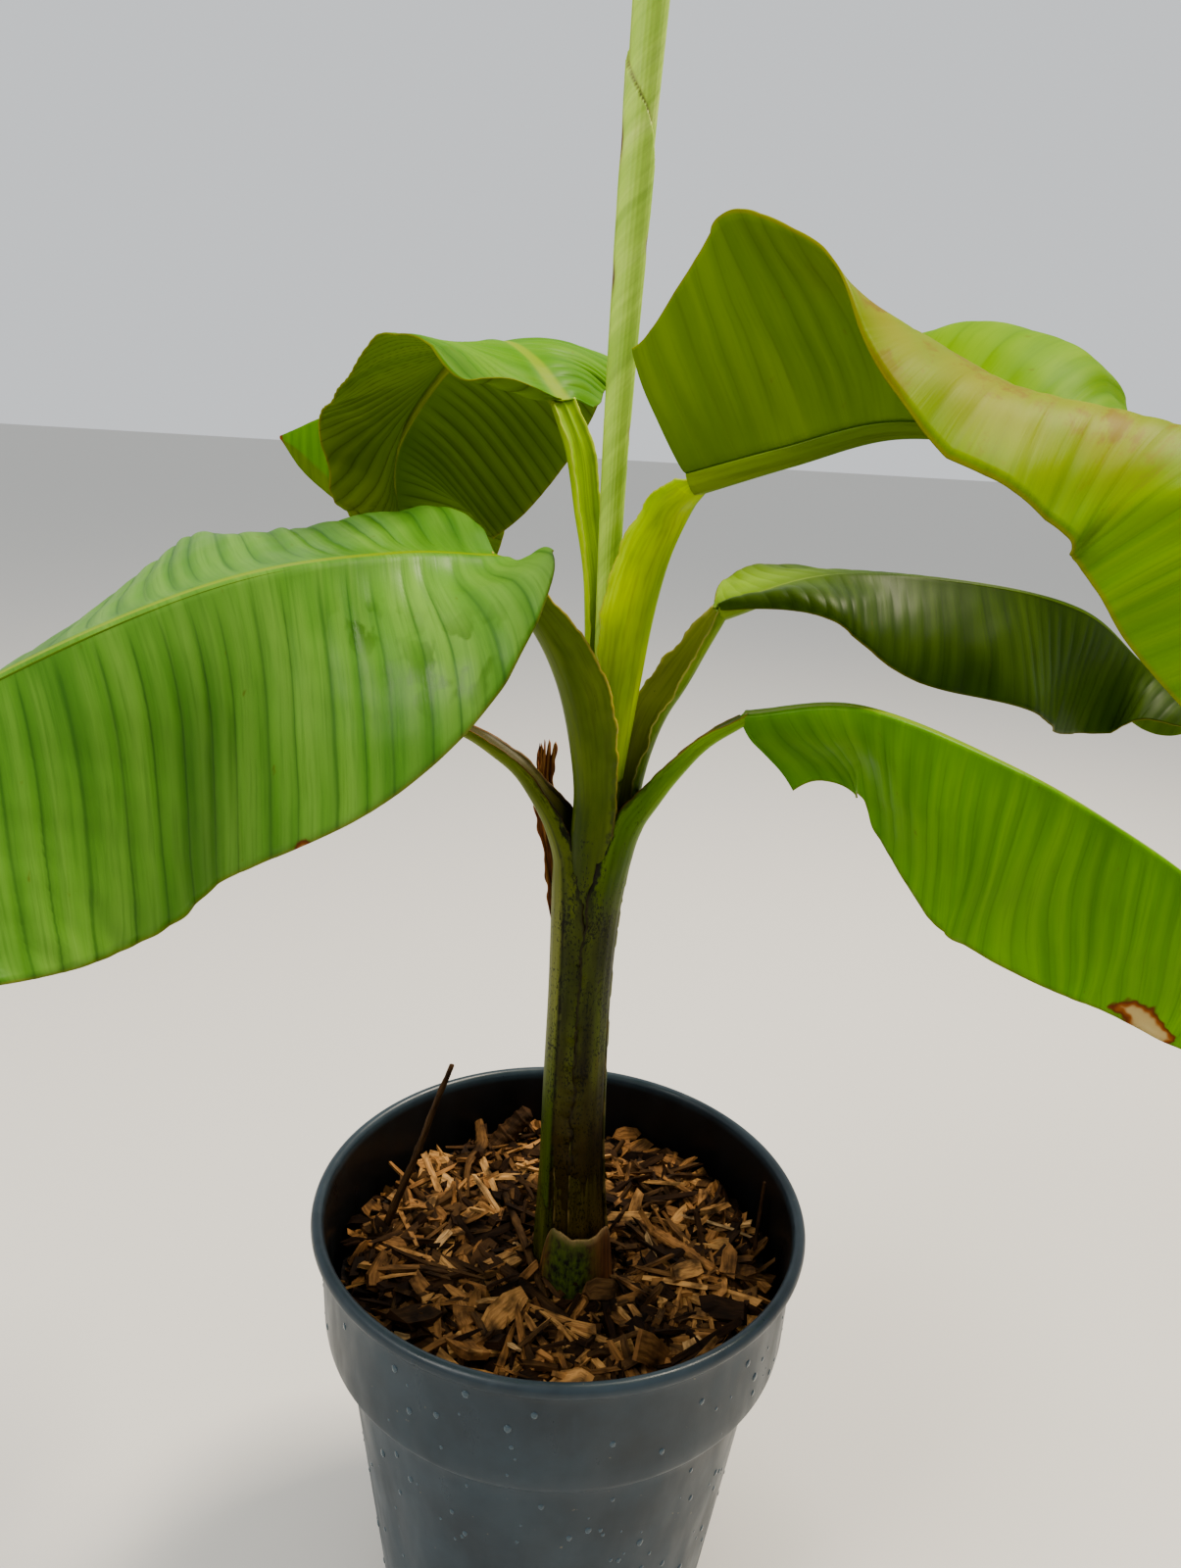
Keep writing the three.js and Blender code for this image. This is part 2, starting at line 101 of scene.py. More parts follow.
# Leaves. rib is the line the blade hangs on and half its widest half. right and left hold
# the slope of each half at the rib, halfway and at the margin, in degrees, at even stations
# along the rib; the widths are factors, the sweeps how far the veins lean forward, and base
# the share of the width at the foot of the blade. Each row of stalk holds x, y, z, the
# width, half the arc of its section, how far its hollow is filled, and its roll. pleat and
# spacing are the depth and the pitch of the folds, and pleat also sets how strong the
# painted shade in the folds is; fan is the lean of the veins where it is not the sweep.
# upper, under, glow and beneath are colours: plain, light and dark above and below, of the
# light that comes through, and of the rib from below. gloss is the roughness and shine the
# strength of the reflections. nicks, scorch, fade and wet place marks by where they are
# along and across and how far they reach, and so does the patch of painted sunlight on
# leaf 5's lobe. midrib slims the rib, ragged tears the stalk's margins, and panel lays a
# strip of an outer sheath on it.
LEAVES = {
    "1": {
        "heading": -155, "half": 89,
        "rib": [[-34, -55, 555], [-70, -78, 556], [-118, -111, 548], [-173, -149, 522],
                [-224, -192, 485], [-268, -222, 437]],
        "right": [[9, 32, -4], [-4, 4, -12], [-7, 6, -15], [-14, -8, -21], [-17, -17, -27],
                  [-17, -19, -33], [-17, -23, -39]],
        "left": [[-86, 22, -26], [-70, -30, -67], [-66, -86, -91], [-66, -88, -92],
                 [-65, -80, -88], [-61, -69, -80], [-54, -54, -72]],
        "right_width": [1.0, 1.03, 1.04, 1.08, 1.06, 1.03, 1.0],
        "left_width": [0.9, 1.0, 1.07, 1.13, 1.16, 1.14, 1.04],
        "right_sweep": [-0.13, -0.14, -0.3, -0.48, -0.05, 0.3, 0.5],
        "left_sweep": [-0.19, -0.11, 0.23, 0.19, -0.08, -0.21, 0.36],
        "base": [0.38, 0.3], "roll": [-2, 3, -1],
        "stalk": [[5, -4, 345, 20, 110, 0.3, 0], [5, -6, 396, 20, 114, 0.25, 0],
                  [5.8, -8.5, 430, 20.5, 118, 0.3, 0], [6, -10, 457, 21, 118, 0.35, 0],
                  [2, -16, 492, 25, 112, 0.4, 0], [-7, -26, 517, 23, 108, 0.5, 0],
                  [-20, -40, 538, 19, 100, 0.7, 0], [-34, -55, 555, 13, 94, 0.9, 0]],
        "nodes": ["leaf_1"], "pleat": 1.35, "spacing": 10.5,
        "fan": {"left": [-0.05, 0.25, 0.42, 0.5, 0.55]},
        "upper": ["#6ba03a", "#90bb58", "#43752a"], "under": ["#6f8f2a", "#88a23c", "#58771f"],
        "glow": "#86ae1c", "gloss": 0.36, "shine": 0.35,
        "scorch": [[0.293, -91, 1.8, 1.4]], "wet": [[0.15, -57, 16, 15], [0.2, -30, 10, 9]],
    },
    "2": {
        "heading": 125, "half": 77,
        "rib": [[-17, 17, 612], [-33, 32, 629], [-51, 60, 636], [-78, 100, 625],
                [-107, 128, 585], [-111, 151, 544], [-120, 159, 499], [-124, 160, 458]],
        "right": [[6, -23, -19], [14, -15, -30], [15, -4, -36], [-8, -33, -45],
                  [-26, -47, -49], [-34, -57, -54], [-32, -40, -50], [-28, -35, -45],
                  [-25, -35, -45], [-23, -35, -40]],
        "left": [[-40, 28, 27], [-24, 12, 7], [-23, -9, -23], [-34, -19, -33],
                 [-56, -31, -15], [-84, -47, 20], [-95, -52, 37], [-86, -41, 33],
                 [-73, -30, 26], [-59, -24, 20]],
        "right_width": [0.79, 0.89, 0.97, 1.01, 0.98, 0.93, 0.93, 0.93, 0.93, 0.95],
        "left_width": [1.44, 0.96, 0.93, 0.95, 0.99, 0.99, 0.96, 0.97, 0.98, 1.0],
        "right_sweep": [-0.07, 0.02, 0.09, 0.19, 0.2, 0.2, 0.1, -0.05, -0.1, 0],
        "left_sweep": [-0.01, -0.48, -0.35, -0.09, 0.05, -0.23, -0.56, -0.41, -0.08, 0.33],
        "base": [0.01, 0.3], "roll": [1, -3, 0],
        "stalk": [[6, 6, 460, 9, 110, 0.5, 0], [3, 9, 500, 10.5, 112, 0.7, 0],
                  [0, 9, 541, 10.5, 110, 0.75, 0], [-5, 12, 569, 11.5, 108, 0.75, 0],
                  [-9, 16, 592, 13, 104, 0.8, 0], [-17, 17, 612, 11, 94, 0.92, 0]],
        "nodes": ["leaf_2_base", "leaf_2_tip"], "pleat": 1.15, "spacing": 6.5, "midrib": 0.45,
        "fan": {"left": [0.45, 0.45, 0.45]}, "beneath": "#8d9a38",
        "upper": ["#639a20", "#86b038", "#467a1a"], "under": ["#6b8210", "#86981c", "#4a5c0c"],
        "glow": "#96b80c", "gloss": 0.42, "shine": 0.14,
    },
    "4": {
        "heading": -42, "half": 90,
        "rib": [[33, -50, 588], [65, -64, 599], [97, -83, 609], [132, -108, 606],
                [180, -143, 596], [226, -201, 539], [251, -237, 489]],
        "right": [[22, 105, 144], [76, 65, 75], [85, 20, 22], [53, -3, -35], [54, -24, -37],
                  [54, -29, -52], [32, -36, -61], [14, -41, -69], [1, -50, -79],
                  [-8, -57, -88]],
        "left": [[35, 45, 22], [42, 34, 6], [38, 14, -18], [8, -24, -46], [-4, -36, -46],
                 [-3, -28, -38], [-9, -23, -33]],
        "right_width": [1.06, 1.06, 1.1, 1.05, 0.98, 1.03, 1.05, 1.06, 1.05, 1.03],
        "left_width": [0.7, 1, 1.12, 1.0, 0.92, 0.95, 1],
        "right_sweep": [-0.33, -0.05, 0.07, 0.09, 0.03, -0.05, -0.2, -0.29, -0.07, 0.24],
        "left_sweep": [0, -0.05, 0, 0.05, 0.1, 0.2, 0.3],
        "base": [0.1, 0.7], "roll": [-5, 1, 0],
        "stalk": [[9, 4, 455, 16, 118, 0.5, 0], [12, 4, 500, 20, 118, 0.55, 0],
                  [14, -2, 531, 23, 116, 0.6, 0], [19, -11, 556, 22, 112, 0.7, 0],
                  [26, -24, 575, 20, 104, 0.8, 0], [33, -50, 588, 15, 94, 0.92, 0]],
        "nodes": ["leaf_4"], "pleat": 0.45, "spacing": 9,
        "upper": ["#6f9c0c", "#88ac20", "#5c890c"], "under": ["#69820a", "#7f9612", "#526b04"],
        "glow": "#8fb000", "gloss": 0.46, "shine": 0.08,
        "fade": [[0.26, 78, 26, 24], [0.34, 60, 30, 28], [0.43, 44, 32, 24],
                 [0.52, 28, 26, 14]],
    },
    "5": {
        "heading": 15, "half": 56,
        "rib": [[52, 16, 531], [102, 29, 546], [166, 34, 546], [223, 51, 535],
                [266, 76, 509], [293, 59, 483]],
        "right": [[-18, 8, -91], [-39, -15, -88], [-54, -51, -89], [-61, -61, -90],
                  [-69, -87, -88], [-65, -86, -83], [-54, -58, -72]],
        "left": [[33, 18, 42], [17, 6, 17], [5, -6, -6], [-5, -15, -22], [-11, -22, -32],
                 [-17, -27, -39], [-22, -31, -44]],
        "right_width": [0.8, 0.9, 0.99, 1.05, 1.2, 1.13, 0.99],
        "left_width": [1.03, 1.1, 1.12, 1.09, 1.05, 1.01, 0.98],
        "right_sweep": [-0.02, -0.16, -0.07, 0.14, 0.32, 0.37, 0.15],
        "left_sweep": [0.41, -0.14, -0.36, 0.02, 0.32, 0.39, 0.34],
        "base": [0.22, 0.24], "roll": [15, 1, 1],
        "stalk": [[8, 2, 345, 12, 100, 0.3, 0], [13, 5, 396, 13, 104, 0.25, -10],
                  [18, 7, 443, 13.5, 108, 0.25, -22], [21, 9, 467, 16, 108, 0.28, -32],
                  [27, 11, 486, 17, 104, 0.34, -32], [37, 14, 503, 16.5, 102, 0.42, -25],
                  [52, 16, 531, 12, 94, 0.9, 0]],
        "nodes": ["leaf_5"], "pleat": 0.6, "spacing": 8, "ragged": 0.09,
        # Leaf 5's upper colours are darker than the other leaves': partly painted shade.
        "upper": ["#3f5814", "#56701e", "#2b400e"], "under": ["#7d9a2a", "#96ad40", "#647f1c"],
        "glow": "#6f8a10", "gloss": 0.42, "shine": 0.2, "painted_sunlight": [[0.07, -26, 34, 30]],
    },
    "6": {
        "heading": -8, "half": 81,
        "rib": [[68, 11, 486], [115, -9, 496], [172, -36, 481], [221, -40, 457],
                [255, -51, 436], [299, -61, 402], [330, -74, 353]],
        "right": [[-94, -126, -98], [-84, -133, -99], [-77, -116, -96], [-73, -114, -96],
                  [-72, -119, -96], [-70, -111, -92], [-63, -87, -82]],
        "left": [[-34, -52, -61], [-39, -56, -66], [-43, -59, -69], [-45, -60, -70],
                 [-45, -59, -69], [-43, -56, -66], [-41, -51, -61]],
        "right_width": [0.96, 0.98, 1.09, 1.1, 1.09, 1.13, 1.12],
        "left_width": [1, 1, 1, 1, 1, 1, 1],
        "right_sweep": [0.34, 0.05, 0.18, 0.2, 0.07, -0.05, 0.16],
        "left_sweep": [0.04, 0.19, 0.31, 0.36, 0.38, 0.42, 0.48],
        "base": [0.3, 0.68], "roll": [-3, 0, 0],
        "stalk": [[4.8, 0, 240, 30.5, 86, 0.09, 0], [4, 0, 292, 29.6, 86, 0.09, 0],
                  [3.7, -0.5, 350, 28.4, 86, 0.09, 0], [4.2, -1.5, 386, 29.6, 85, 0.1, 0],
                  [5.5, -2.5, 410, 31.5, 83, 0.11, 0], [10.5, -3, 427, 28, 92, 0.16, 0],
                  [18, -4, 440, 21, 108, 0.3, 5], [27, -4, 450, 14.5, 114, 0.45, 10],
                  [36, -4, 462, 12, 112, 0.55, 10], [50, 1, 476, 10, 104, 0.7, 5],
                  [68, 11, 486, 9, 94, 0.9, 0]],
        "nodes": ["leaf_6"], "pleat": 0.6, "spacing": 9,
        "upper": ["#6aa314", "#8abc2a", "#4d8212"], "under": ["#7f9a24", "#93ab36", "#688218"],
        "glow": "#97c404", "gloss": 0.36, "shine": 0.3,
        "scorch": [[0.752, 66, 19, 5.5]], "fan": {"right": [0.3, 0.3, 0.6, 0.75, 0.8]},
        "nicks": {"right": [[0.155, 0.19, 0.025]]},
    },
    "7": {
        "heading": 168, "half": 52,
        "rib": [[-70, 18, 476], [-98, 26, 475], [-132, 34, 466], [-171, 42, 448],
                [-214, 50, 418], [-248, 56, 385]],
        "right": [[-20, -40, -50], [-40, -55, -65], [-40, -60, -70], [-40, -50, -60]],
        "left": [[-30, -50, -70], [-55, -70, -80], [-55, -70, -80], [-40, -60, -70]],
        "right_width": [1, 1, 1, 1], "left_width": [1, 1, 1, 1],
        "right_sweep": [-0.2, 0.25, 0.3, 0.5], "left_sweep": [-0.2, 0.25, 0.3, 0.5],
        "base": [0.2, 0.2], "roll": [0, 0, 0],
        "stalk": [[4.8, 0, 240, 30.5, 104, 0.09, 0], [3.7, 0, 292, 29.4, 104, 0.09, 0],
                  [3.4, -0.3, 350, 28.2, 104, 0.09, 0], [3.5, -1, 386, 29.2, 104, 0.1, 0],
                  [3.2, -1.5, 404, 29.4, 102, 0.11, 0], [0.5, -1, 420, 26, 104, 0.2, 2],
                  [-7, 0.5, 434, 20, 110, 0.36, 2], [-16, 3, 445, 14.5, 112, 0.55, 0],
                  [-27, 6, 457, 11.5, 110, 0.65, 0], [-39, 9, 465, 10.5, 106, 0.7, 0],
                  [-53, 13, 472, 9.5, 100, 0.8, 0], [-70, 18, 476, 9, 94, 0.9, 0]],
        "nodes": ["leaf_7"], "pleat": 0.6, "spacing": 9,
        "upper": ["#4f8226", "#6a9a3a", "#3d6a20"], "under": ["#70892f", "#869c42", "#5a7226"],
        "glow": "#88a81c", "gloss": 0.4, "shine": 0.3, "panel": 0.6,
    },
}

# Stalk skins: plain and light green, the channel, the dry margin, and how brown it gets
STALK_SKINS = {
    "1": ["#4a5f10", "#6a7c18", "#4f5c1c", "#a8964a", 0.7],
    "2": ["#86a818", "#a2ba28", "#7f9f1c", "#a9b84a", 0.1],
    "4": ["#86a804", "#b2cc14", "#7d971c", "#a9ae3c", 0.1],
    "5": ["#5c8010", "#86a222", "#8a8f3e", "#a39a58", 0.5],
    "6": ["#5c840c", "#84ac16", "#5e6c22", "#8a6238", 1.0],
    "7": ["#5c6c10", "#84902c", "#443f12", "#7d5127", 1.0],
}

# The end of leaf 2, curled back past its left half: its upper edge, fold and lower edge
CURL_2 = [[[-151.9, 78.0, 590.2], [-143.5, 74.0, 593.7],
           [-130.8, 67.0, 599.0], [-117.7, 61.5, 602.6]],
          [[-151.9, 78.0, 589.3], [-143.2, 76.0, 584.8],
           [-132.6, 78.0, 575.5], [-119.4, 81.5, 565.0]],
          [[-151.3, 79.0, 588.4], [-143.4, 82.0, 575.8],
           [-133.0, 87.0, 565.5], [-116.5, 93.0, 552.7]]]

# Twigs and strips that lie in the mulch: points, widths and flatness
TWIGS = {
    "twig_tall": {"path": [[-92, 12, 196], [-83, 12, 222], [-73, 14, 250], [-65, 15, 276],
                           [-57, 16, 299]],
                  "widths": [5.2, 4.8, 4.4, 3.8, 3.0], "flatness": 0.8},
    "bark_stick": {"path": [[-46, 80, 200], [-34, 88, 212], [-22, 94, 224]],
                   "widths": [15, 16, 12], "flatness": 0.7},
    "twig_right": {"path": [[30, 40, 201], [60, 8, 205], [88, -19, 204]],
                   "widths": [3.6, 3.2, 2.4], "flatness": 0.8},
}
LOOSE_TWIGS = [
    ([[-14, 94, 210], [-40, 84, 208], [-66, 68, 203]], [2.4, 2.8, 2.2], 0.8),
    ([[-51, 100, 212], [-47, 79, 210], [-52, 60, 211], [-51, 40, 204]], [5, 7, 4, 5], 0.4),
    ([[-30, 39, 209], [-14, -5, 208], [0, -43, 203]], [3.6, 4.2, 3.4], 0.6),
    ([[-42, 6, 203], [-7, -33, 206], [25, -62, 203]], [5.5, 6.5, 5], 0.6),
    ([[42, 27, 205], [60, 8, 208], [78, -6, 206]], [6.5, 7, 5.5], 0.5),
    ([[49, 33, 206], [62, 44, 209], [77, 61, 207]], [3, 2.8, 2.2], 0.8),
    ([[101, 12, 204], [103, 20, 220], [104, 22, 238]], [2.4, 2.2, 1.6], 0.9),
    ([[-45, -34, 206], [-34, -58, 206], [-8, -70, 204], [22, -73, 202]], [9, 11, 8, 7], 0.3),
    ([[-80, 46, 204], [-66, 22, 207], [-60, -4, 204]], [3.4, 4, 3], 0.7),
    ([[20, -60, 203], [44, -50, 206], [70, -52, 203]], [3.2, 3, 2.4], 0.7),
    ([[-20, 70, 206], [10, 82, 209], [34, 78, 205]], [3.4, 3, 2.4], 0.8),
    ([[-72, -40, 203], [-52, -52, 206], [-26, -80, 202]], [3, 3.4, 2.6], 0.7),
]
# Large chips that stand out: x, y, z, length, width, turn in degrees and tone
LARGE_CHIPS = [
    [-58, 1, 209, 12, 6, 60, 0.92], [-78, 26, 208, 20, 8, 10, 0.72],
    [-24, -47, 209, 28, 12, 50, 0.76], [80, 34, 210, 16, 9, -30, 0.8],
    [80, -37, 209, 22, 11, -20, 0.15], [22, -30, 211, 17, 9, 15, 0.5],
    [-38, -68, 209, 22, 12, -50, 0.66], [64, -13, 210, 18, 9, 35, 0.78],
    [86, -4, 209, 15, 8, 75, 0.6], [36, 98, 210, 15, 8, 20, 0.6],
    [46, -66, 209, 26, 12, 25, 0.62], [8, -84, 208, 20, 11, -15, 0.8],
    [-84, -24, 208, 22, 11, 80, 0.6], [-62, -52, 209, 18, 12, 30, 0.3],
]


# Numbers and curves

def linear(code, alpha=1.0):
    """Linear colour of an sRGB hex value."""
    parts = [int(code[i:i + 2], 16) / 255 for i in (1, 3, 5)]
    return (*[c / 12.92 if c <= 0.04045 else ((c + 0.055) / 1.055) ** 2.4 for c in parts], alpha)


def catmull(rows, t):
    """Values of a uniform Catmull-Rom curve through the rows, with its ends reflected."""
    rows = np.asarray(rows, float)
    last = len(rows) - 1
    x = np.clip(np.asarray(t, float), 0, 1) * last
    i = np.minimum(x.astype(int), last - 1)
    f = x - i
    f = f.reshape(f.shape + (1,) * (rows.ndim - 1))
    ends = np.concatenate([[2 * rows[0] - rows[1]], rows, [2 * rows[-1] - rows[-2]]])
    a, b, c, d = ends[i], ends[i + 1], ends[i + 2], ends[i + 3]
    return 0.5 * (2 * b + (c - a) * f + (2 * a - 5 * b + 4 * c - d) * f**2
                  + (3 * b - a - 3 * c + d) * f**3)


def smooth(low, high, x):
    """0 below low, 1 above high, and an even rise between."""
    share = np.clip((x - low) / (high - low), 0, 1)
    return share * share * (3 - 2 * share)


def ripple(x, seed, y=0.0):
    """Smooth wandering between about -1 and 1: four seeded sine waves of growing pitch."""
    dice = np.random.default_rng(seed)
    total = 0.0
    for k in range(4):
        a, b, turn = dice.uniform(0.7, 1.3), dice.uniform(0.7, 1.3), dice.uniform(0, 2 * math.pi)
        total = total + np.sin(2 * math.pi * 1.7**k * (a * x + b * y) + turn) / 1.5**k
    return total / 2.2


def even_shares(path, t):
    """Parameters of a path's curve at shares t of its length, and the length."""
    fine = np.linspace(0, 1, 801)
    line = catmull(path, fine)
    run = np.concatenate([[0], np.cumsum(np.linalg.norm(np.diff(line, axis=0), axis=1))])
    return np.interp(np.asarray(t, float) * run[-1], run, fine), run[-1]


def path_frames(path, t, heading, roll=0.0):
    """Point, tangent, side and normal at shares t of a path's length. The side stays square
    to the heading, and a roll in degrees turns it about the tangent."""
    share, length = even_shares(path, t)
    point = catmull(path, share)
    tangent = catmull(path, share + 1e-3) - catmull(path, share - 1e-3)
    tangent /= np.linalg.norm(tangent, axis=1, keepdims=True)
    angle = math.radians(heading)
    side = np.array([math.sin(angle), -math.cos(angle), 0.0])
    side = side - (tangent @ side)[:, None] * tangent
    side /= np.linalg.norm(side, axis=1, keepdims=True)
    normal = np.cross(side, tangent)
    turn = np.radians(np.broadcast_to(roll, len(point)))[:, None]
    side, normal = (side * np.cos(turn) + normal * np.sin(turn),
                    normal * np.cos(turn) - side * np.sin(turn))
    return point, tangent, side, normal, length


# Meshes

def lattice(rows, columns, wrap=False):
    """Quads of a grid of points, with the row and column of each corner. A wrapped grid
    closes on its first column."""
    r, c = np.meshgrid(np.arange(rows - 1), np.arange(columns if wrap else columns - 1),
                       indexing="ij")
    corner_rows = np.stack([r, r, r + 1, r + 1], -1).reshape(-1, 4)
    corner_columns = np.stack([c, c + 1, c + 1, c], -1).reshape(-1, 4)
    return corner_rows * columns + corner_columns % columns, corner_rows, corner_columns


def signed_volume(points, groups):
    """Six times the volume inside faces given as fans of corners: below 0 if inside out."""
    total = 0.0
    for faces, _ in groups:
        first = points[faces[:, 0]]
        for k in range(1, faces.shape[1] - 1):
            total += np.sum(first * np.cross(points[faces[:, k]], points[faces[:, k + 1]]))
    return total


def make_piece(name, points, groups, material, values=None, replaces=(), round_off=True):
    """A mesh object from points in millimetres. groups holds faces and the uv of their
    corners, or None for it, and values holds numbers kept on the points by name."""
    points = np.asarray(points, float).reshape(-1, 3)
    if signed_volume(points, groups) < 0:
        groups = [(f[:, ::-1], None if uv is None else uv[:, ::-1]) for f, uv in groups]
    mesh = bpy.data.meshes.new(name)
    mesh.vertices.add(len(points))
    mesh.vertices.foreach_set("co", (points * MM).astype(np.float32).ravel())
    loops = np.concatenate([f.ravel() for f, _ in groups]).astype(np.int32)
    sizes = np.concatenate([np.full(len(f), f.shape[1]) for f, _ in groups])
    starts = np.concatenate([[0], np.cumsum(sizes)[:-1]]).astype(np.int32)
    mesh.loops.add(len(loops))
    mesh.loops.foreach_set("vertex_index", loops)
    mesh.polygons.add(len(sizes))
    mesh.polygons.foreach_set("loop_start", starts)
    mesh.update(calc_edges=True)
    mesh.polygons.foreach_set("use_smooth", np.full(len(sizes), round_off))
    if any(uv is not None for _, uv in groups):
        layer = mesh.uv_layers.new(name="skin")
        flat = np.concatenate([(np.zeros((*f.shape, 2)) if uv is None else uv).reshape(-1, 2)
                               for f, uv in groups])
        layer.data.foreach_set("uv", (flat * MM).astype(np.float32).ravel())
    for key, numbers in (values or {}).items():
        store = mesh.attributes.new(key, "FLOAT", "POINT")
        store.data.foreach_set("value", np.asarray(numbers, np.float32).ravel())
    mesh.materials.append(material)
    mesh.validate()
    piece = bpy.data.objects.new(name, mesh)
    bpy.context.scene.collection.objects.link(piece)
    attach(piece, "root")
    if replaces:
        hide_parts(*replaces)
    return piece


def ringed(rings, poles=None, across=None, along=None):
    """Points, faces and uv of a skin of rings, shaped (rows, columns, 3), each closed on
    itself. The ends close on the two poles, at the middle of the end rings if not given."""
    rows, columns = rings.shape[:2]
    faces, r, c = lattice(rows, columns, wrap=True)
    across = np.linspace(0, 1, columns + 1) if across is None else across
    along = np.linspace(0, 1, rows) if along is None else along
    uv = np.stack([across[c], along[r]], -1)
    poles = (rings[0].mean(0), rings[-1].mean(0)) if poles is None else poles
    points = np.concatenate([rings.reshape(-1, 3), np.asarray(poles, float)])
    k = np.arange(columns)
    nxt = (k + 1) % columns
    low = np.stack([nxt, k, np.full(columns, rows * columns)], -1)
    high = np.stack([k + (rows - 1) * columns, nxt + (rows - 1) * columns,
                     np.full(columns, rows * columns + 1)], -1)
    low_uv = np.stack([np.stack([across[k + 1], across[k], across[k]], -1),
                       np.full((columns, 3), along[0])], -1)
    high_uv = np.stack([np.stack([across[k], across[k + 1], across[k]], -1),
                        np.full((columns, 3), along[-1])], -1)
    return points, [(faces, uv), (low, low_uv), (high, high_uv)]


def sheet(middle, thickness, across, along):
    """Points and faces of a thin closed sheet, half its thickness to each side of a grid of
    points. The second half of the points is the side the normals turn away from."""
    facing = np.cross(np.gradient(middle, axis=1), np.gradient(middle, axis=0))
    facing /= np.linalg.norm(facing, axis=2, keepdims=True) + 1e-9
    points = np.concatenate([(middle + facing * thickness / 2).reshape(-1, 3),
                             (middle - facing * thickness / 2).reshape(-1, 3)])
    rows, wide = middle.shape[:2]
    layer = rows * wide
    faces, r, c = lattice(rows, wide)
    flat = np.stack(np.broadcast_arrays(across, along), -1)
    uv = flat[r, c]
    border = np.concatenate([np.arange(wide), np.arange(2 * wide - 1, layer, wide),
                             np.arange(layer - 2, layer - wide - 1, -1),
                             np.arange(layer - 2 * wide, 0, -wide)])
    after = np.roll(border, -1)
    wall = np.stack([after, border, border + layer, after + layer], -1)
    flat = flat.reshape(-1, 2)
    return points, [(faces, uv), (faces[:, ::-1] + layer, uv[:, ::-1]),
                    (wall, flat[np.stack([after, border, border, after], -1)])]


def carried(point, side, normal, x, y):
    """Points that lie x along the side and y along the normal of each station of a path."""
    return point[:, None] + x[..., None] * side[:, None] + y[..., None] * normal[:, None]


def limb(path, widths, heading, flatness, around, rows, shape=None):
    """A limb: rings of an oval section carried along a smooth path, both ends rounded. shape
    gives a factor on the radius from the turn round the limb and the share along it."""
    t = np.linspace(0, 1, rows)
    point, tangent, side, normal, length = path_frames(path, t, heading)
    turn = 2 * math.pi * np.arange(around) / around
    radius = catmull(widths, t) / 2
    factor = np.ones((rows, around)) if shape is None else shape(turn[None, :], t[:, None])
    reach = radius[:, None] * factor
    rings = carried(point, side, normal, reach * np.cos(turn), flatness * reach * np.sin(turn))
    poles = (point[0] - 0.3 * radius[0] * tangent[0], point[-1] + 0.3 * radius[-1] * tangent[-1])
    across = np.linspace(0, 2 * math.pi * radius.mean(), around + 1)
    return ringed(rings, poles, across, t * length)


def crescent(rows, heading, count, ragged, seed, sink_from=1.0, panel=0.0):
    """A limb with a crescent section: an outer arc, and an inner skin drawn towards the
    middle of the chord between the margins by the share that is filled. Each row holds
    x, y, z, width, half the arc in degrees, the filled share and the roll. The margins
    wander by the ragged share. After sink_from the limb sinks to lie under a blade. Low
    down, the middle of the outer arc stands a little proud as far as the panel share."""
    rows = np.asarray(rows, float)
    t = np.linspace(0, 1, count)
    share, _ = even_shares(rows[:, :3], t)
    width, arc, filled, roll = catmull(rows[:, 3:], share).T[:, :, None]
    point, _, side, normal, length = path_frames(rows[:, :3], t, heading, roll[:, 0])
    place = np.concatenate([np.linspace(-1, 1, OUTER_POINTS),
                            np.linspace(1, -1, INNER_POINTS)])[None, :]
    inside = np.repeat([0.0, 1.0], [OUTER_POINTS, INNER_POINTS])[None, :]
    away = np.abs(place)
    wander = ripple(t[:, None] * length / 34, seed, 0.37 * np.sign(place))
    angle = place * np.radians(arc) * (1 + ragged * wander * away**3) - math.pi / 2
    flare = 1 + 1.6 * ragged * ripple(t[:, None] * length / 23, seed + 1,
                                      0.41 * np.sign(place)) * away**5
    reach = width / 2 * flare * (1 + 0.008 * np.sin(angle * 19) * (1 - inside))
    wrapped = (away < panel + 0.02 * wander) * (1 - inside)
    reach = reach + PANEL_RISE * wrapped * smooth(*PANEL_TOP, point[:, 2:3])
    x, y = reach * np.cos(angle), reach * np.sin(angle)
    draw = inside * (filled * (1 - away**3) + 0.06)
    x = x * (1 - draw)
    y = y + draw * (-width / 2 * np.cos(np.radians(arc)) - y)
    sink = (0.03 * width + 0.55) * smooth(sink_from - 0.12, sink_from, t[:, None])
    rings = carried(point, side, normal, x, y - sink)
    step = np.abs(np.diff(np.concatenate([place[0], place[0, :1]])))
    across = np.concatenate([[0], np.cumsum(step * width.mean() * 0.9)])
    points, groups = ringed(rings, None, across, t * length)
    seam = np.exp(-(((away - panel - 0.02 * wander) / 0.02) ** 2)) * (panel > 0)
    values = {"level": rings[..., 2] * MM, "margin": away + 0 * t[:, None],
              "inner": inside + 0 * t[:, None], "panel": wrapped + 0 * t[:, None],
              "seam": seam * (1 - inside) + 0 * t[:, None]}
    values = {key: np.concatenate([v.ravel(), v[0, :1], v[-1, :1]]) for key, v in values.items()}
    return points, groups, values


# Materials

# Settings of a Math node for a product held within 0 and 1, and for a product plus a third
HELD_PRODUCT = {"operation": "MULTIPLY", "use_clamp": True}
PRODUCT_PLUS = {"operation": "MULTIPLY_ADD"}


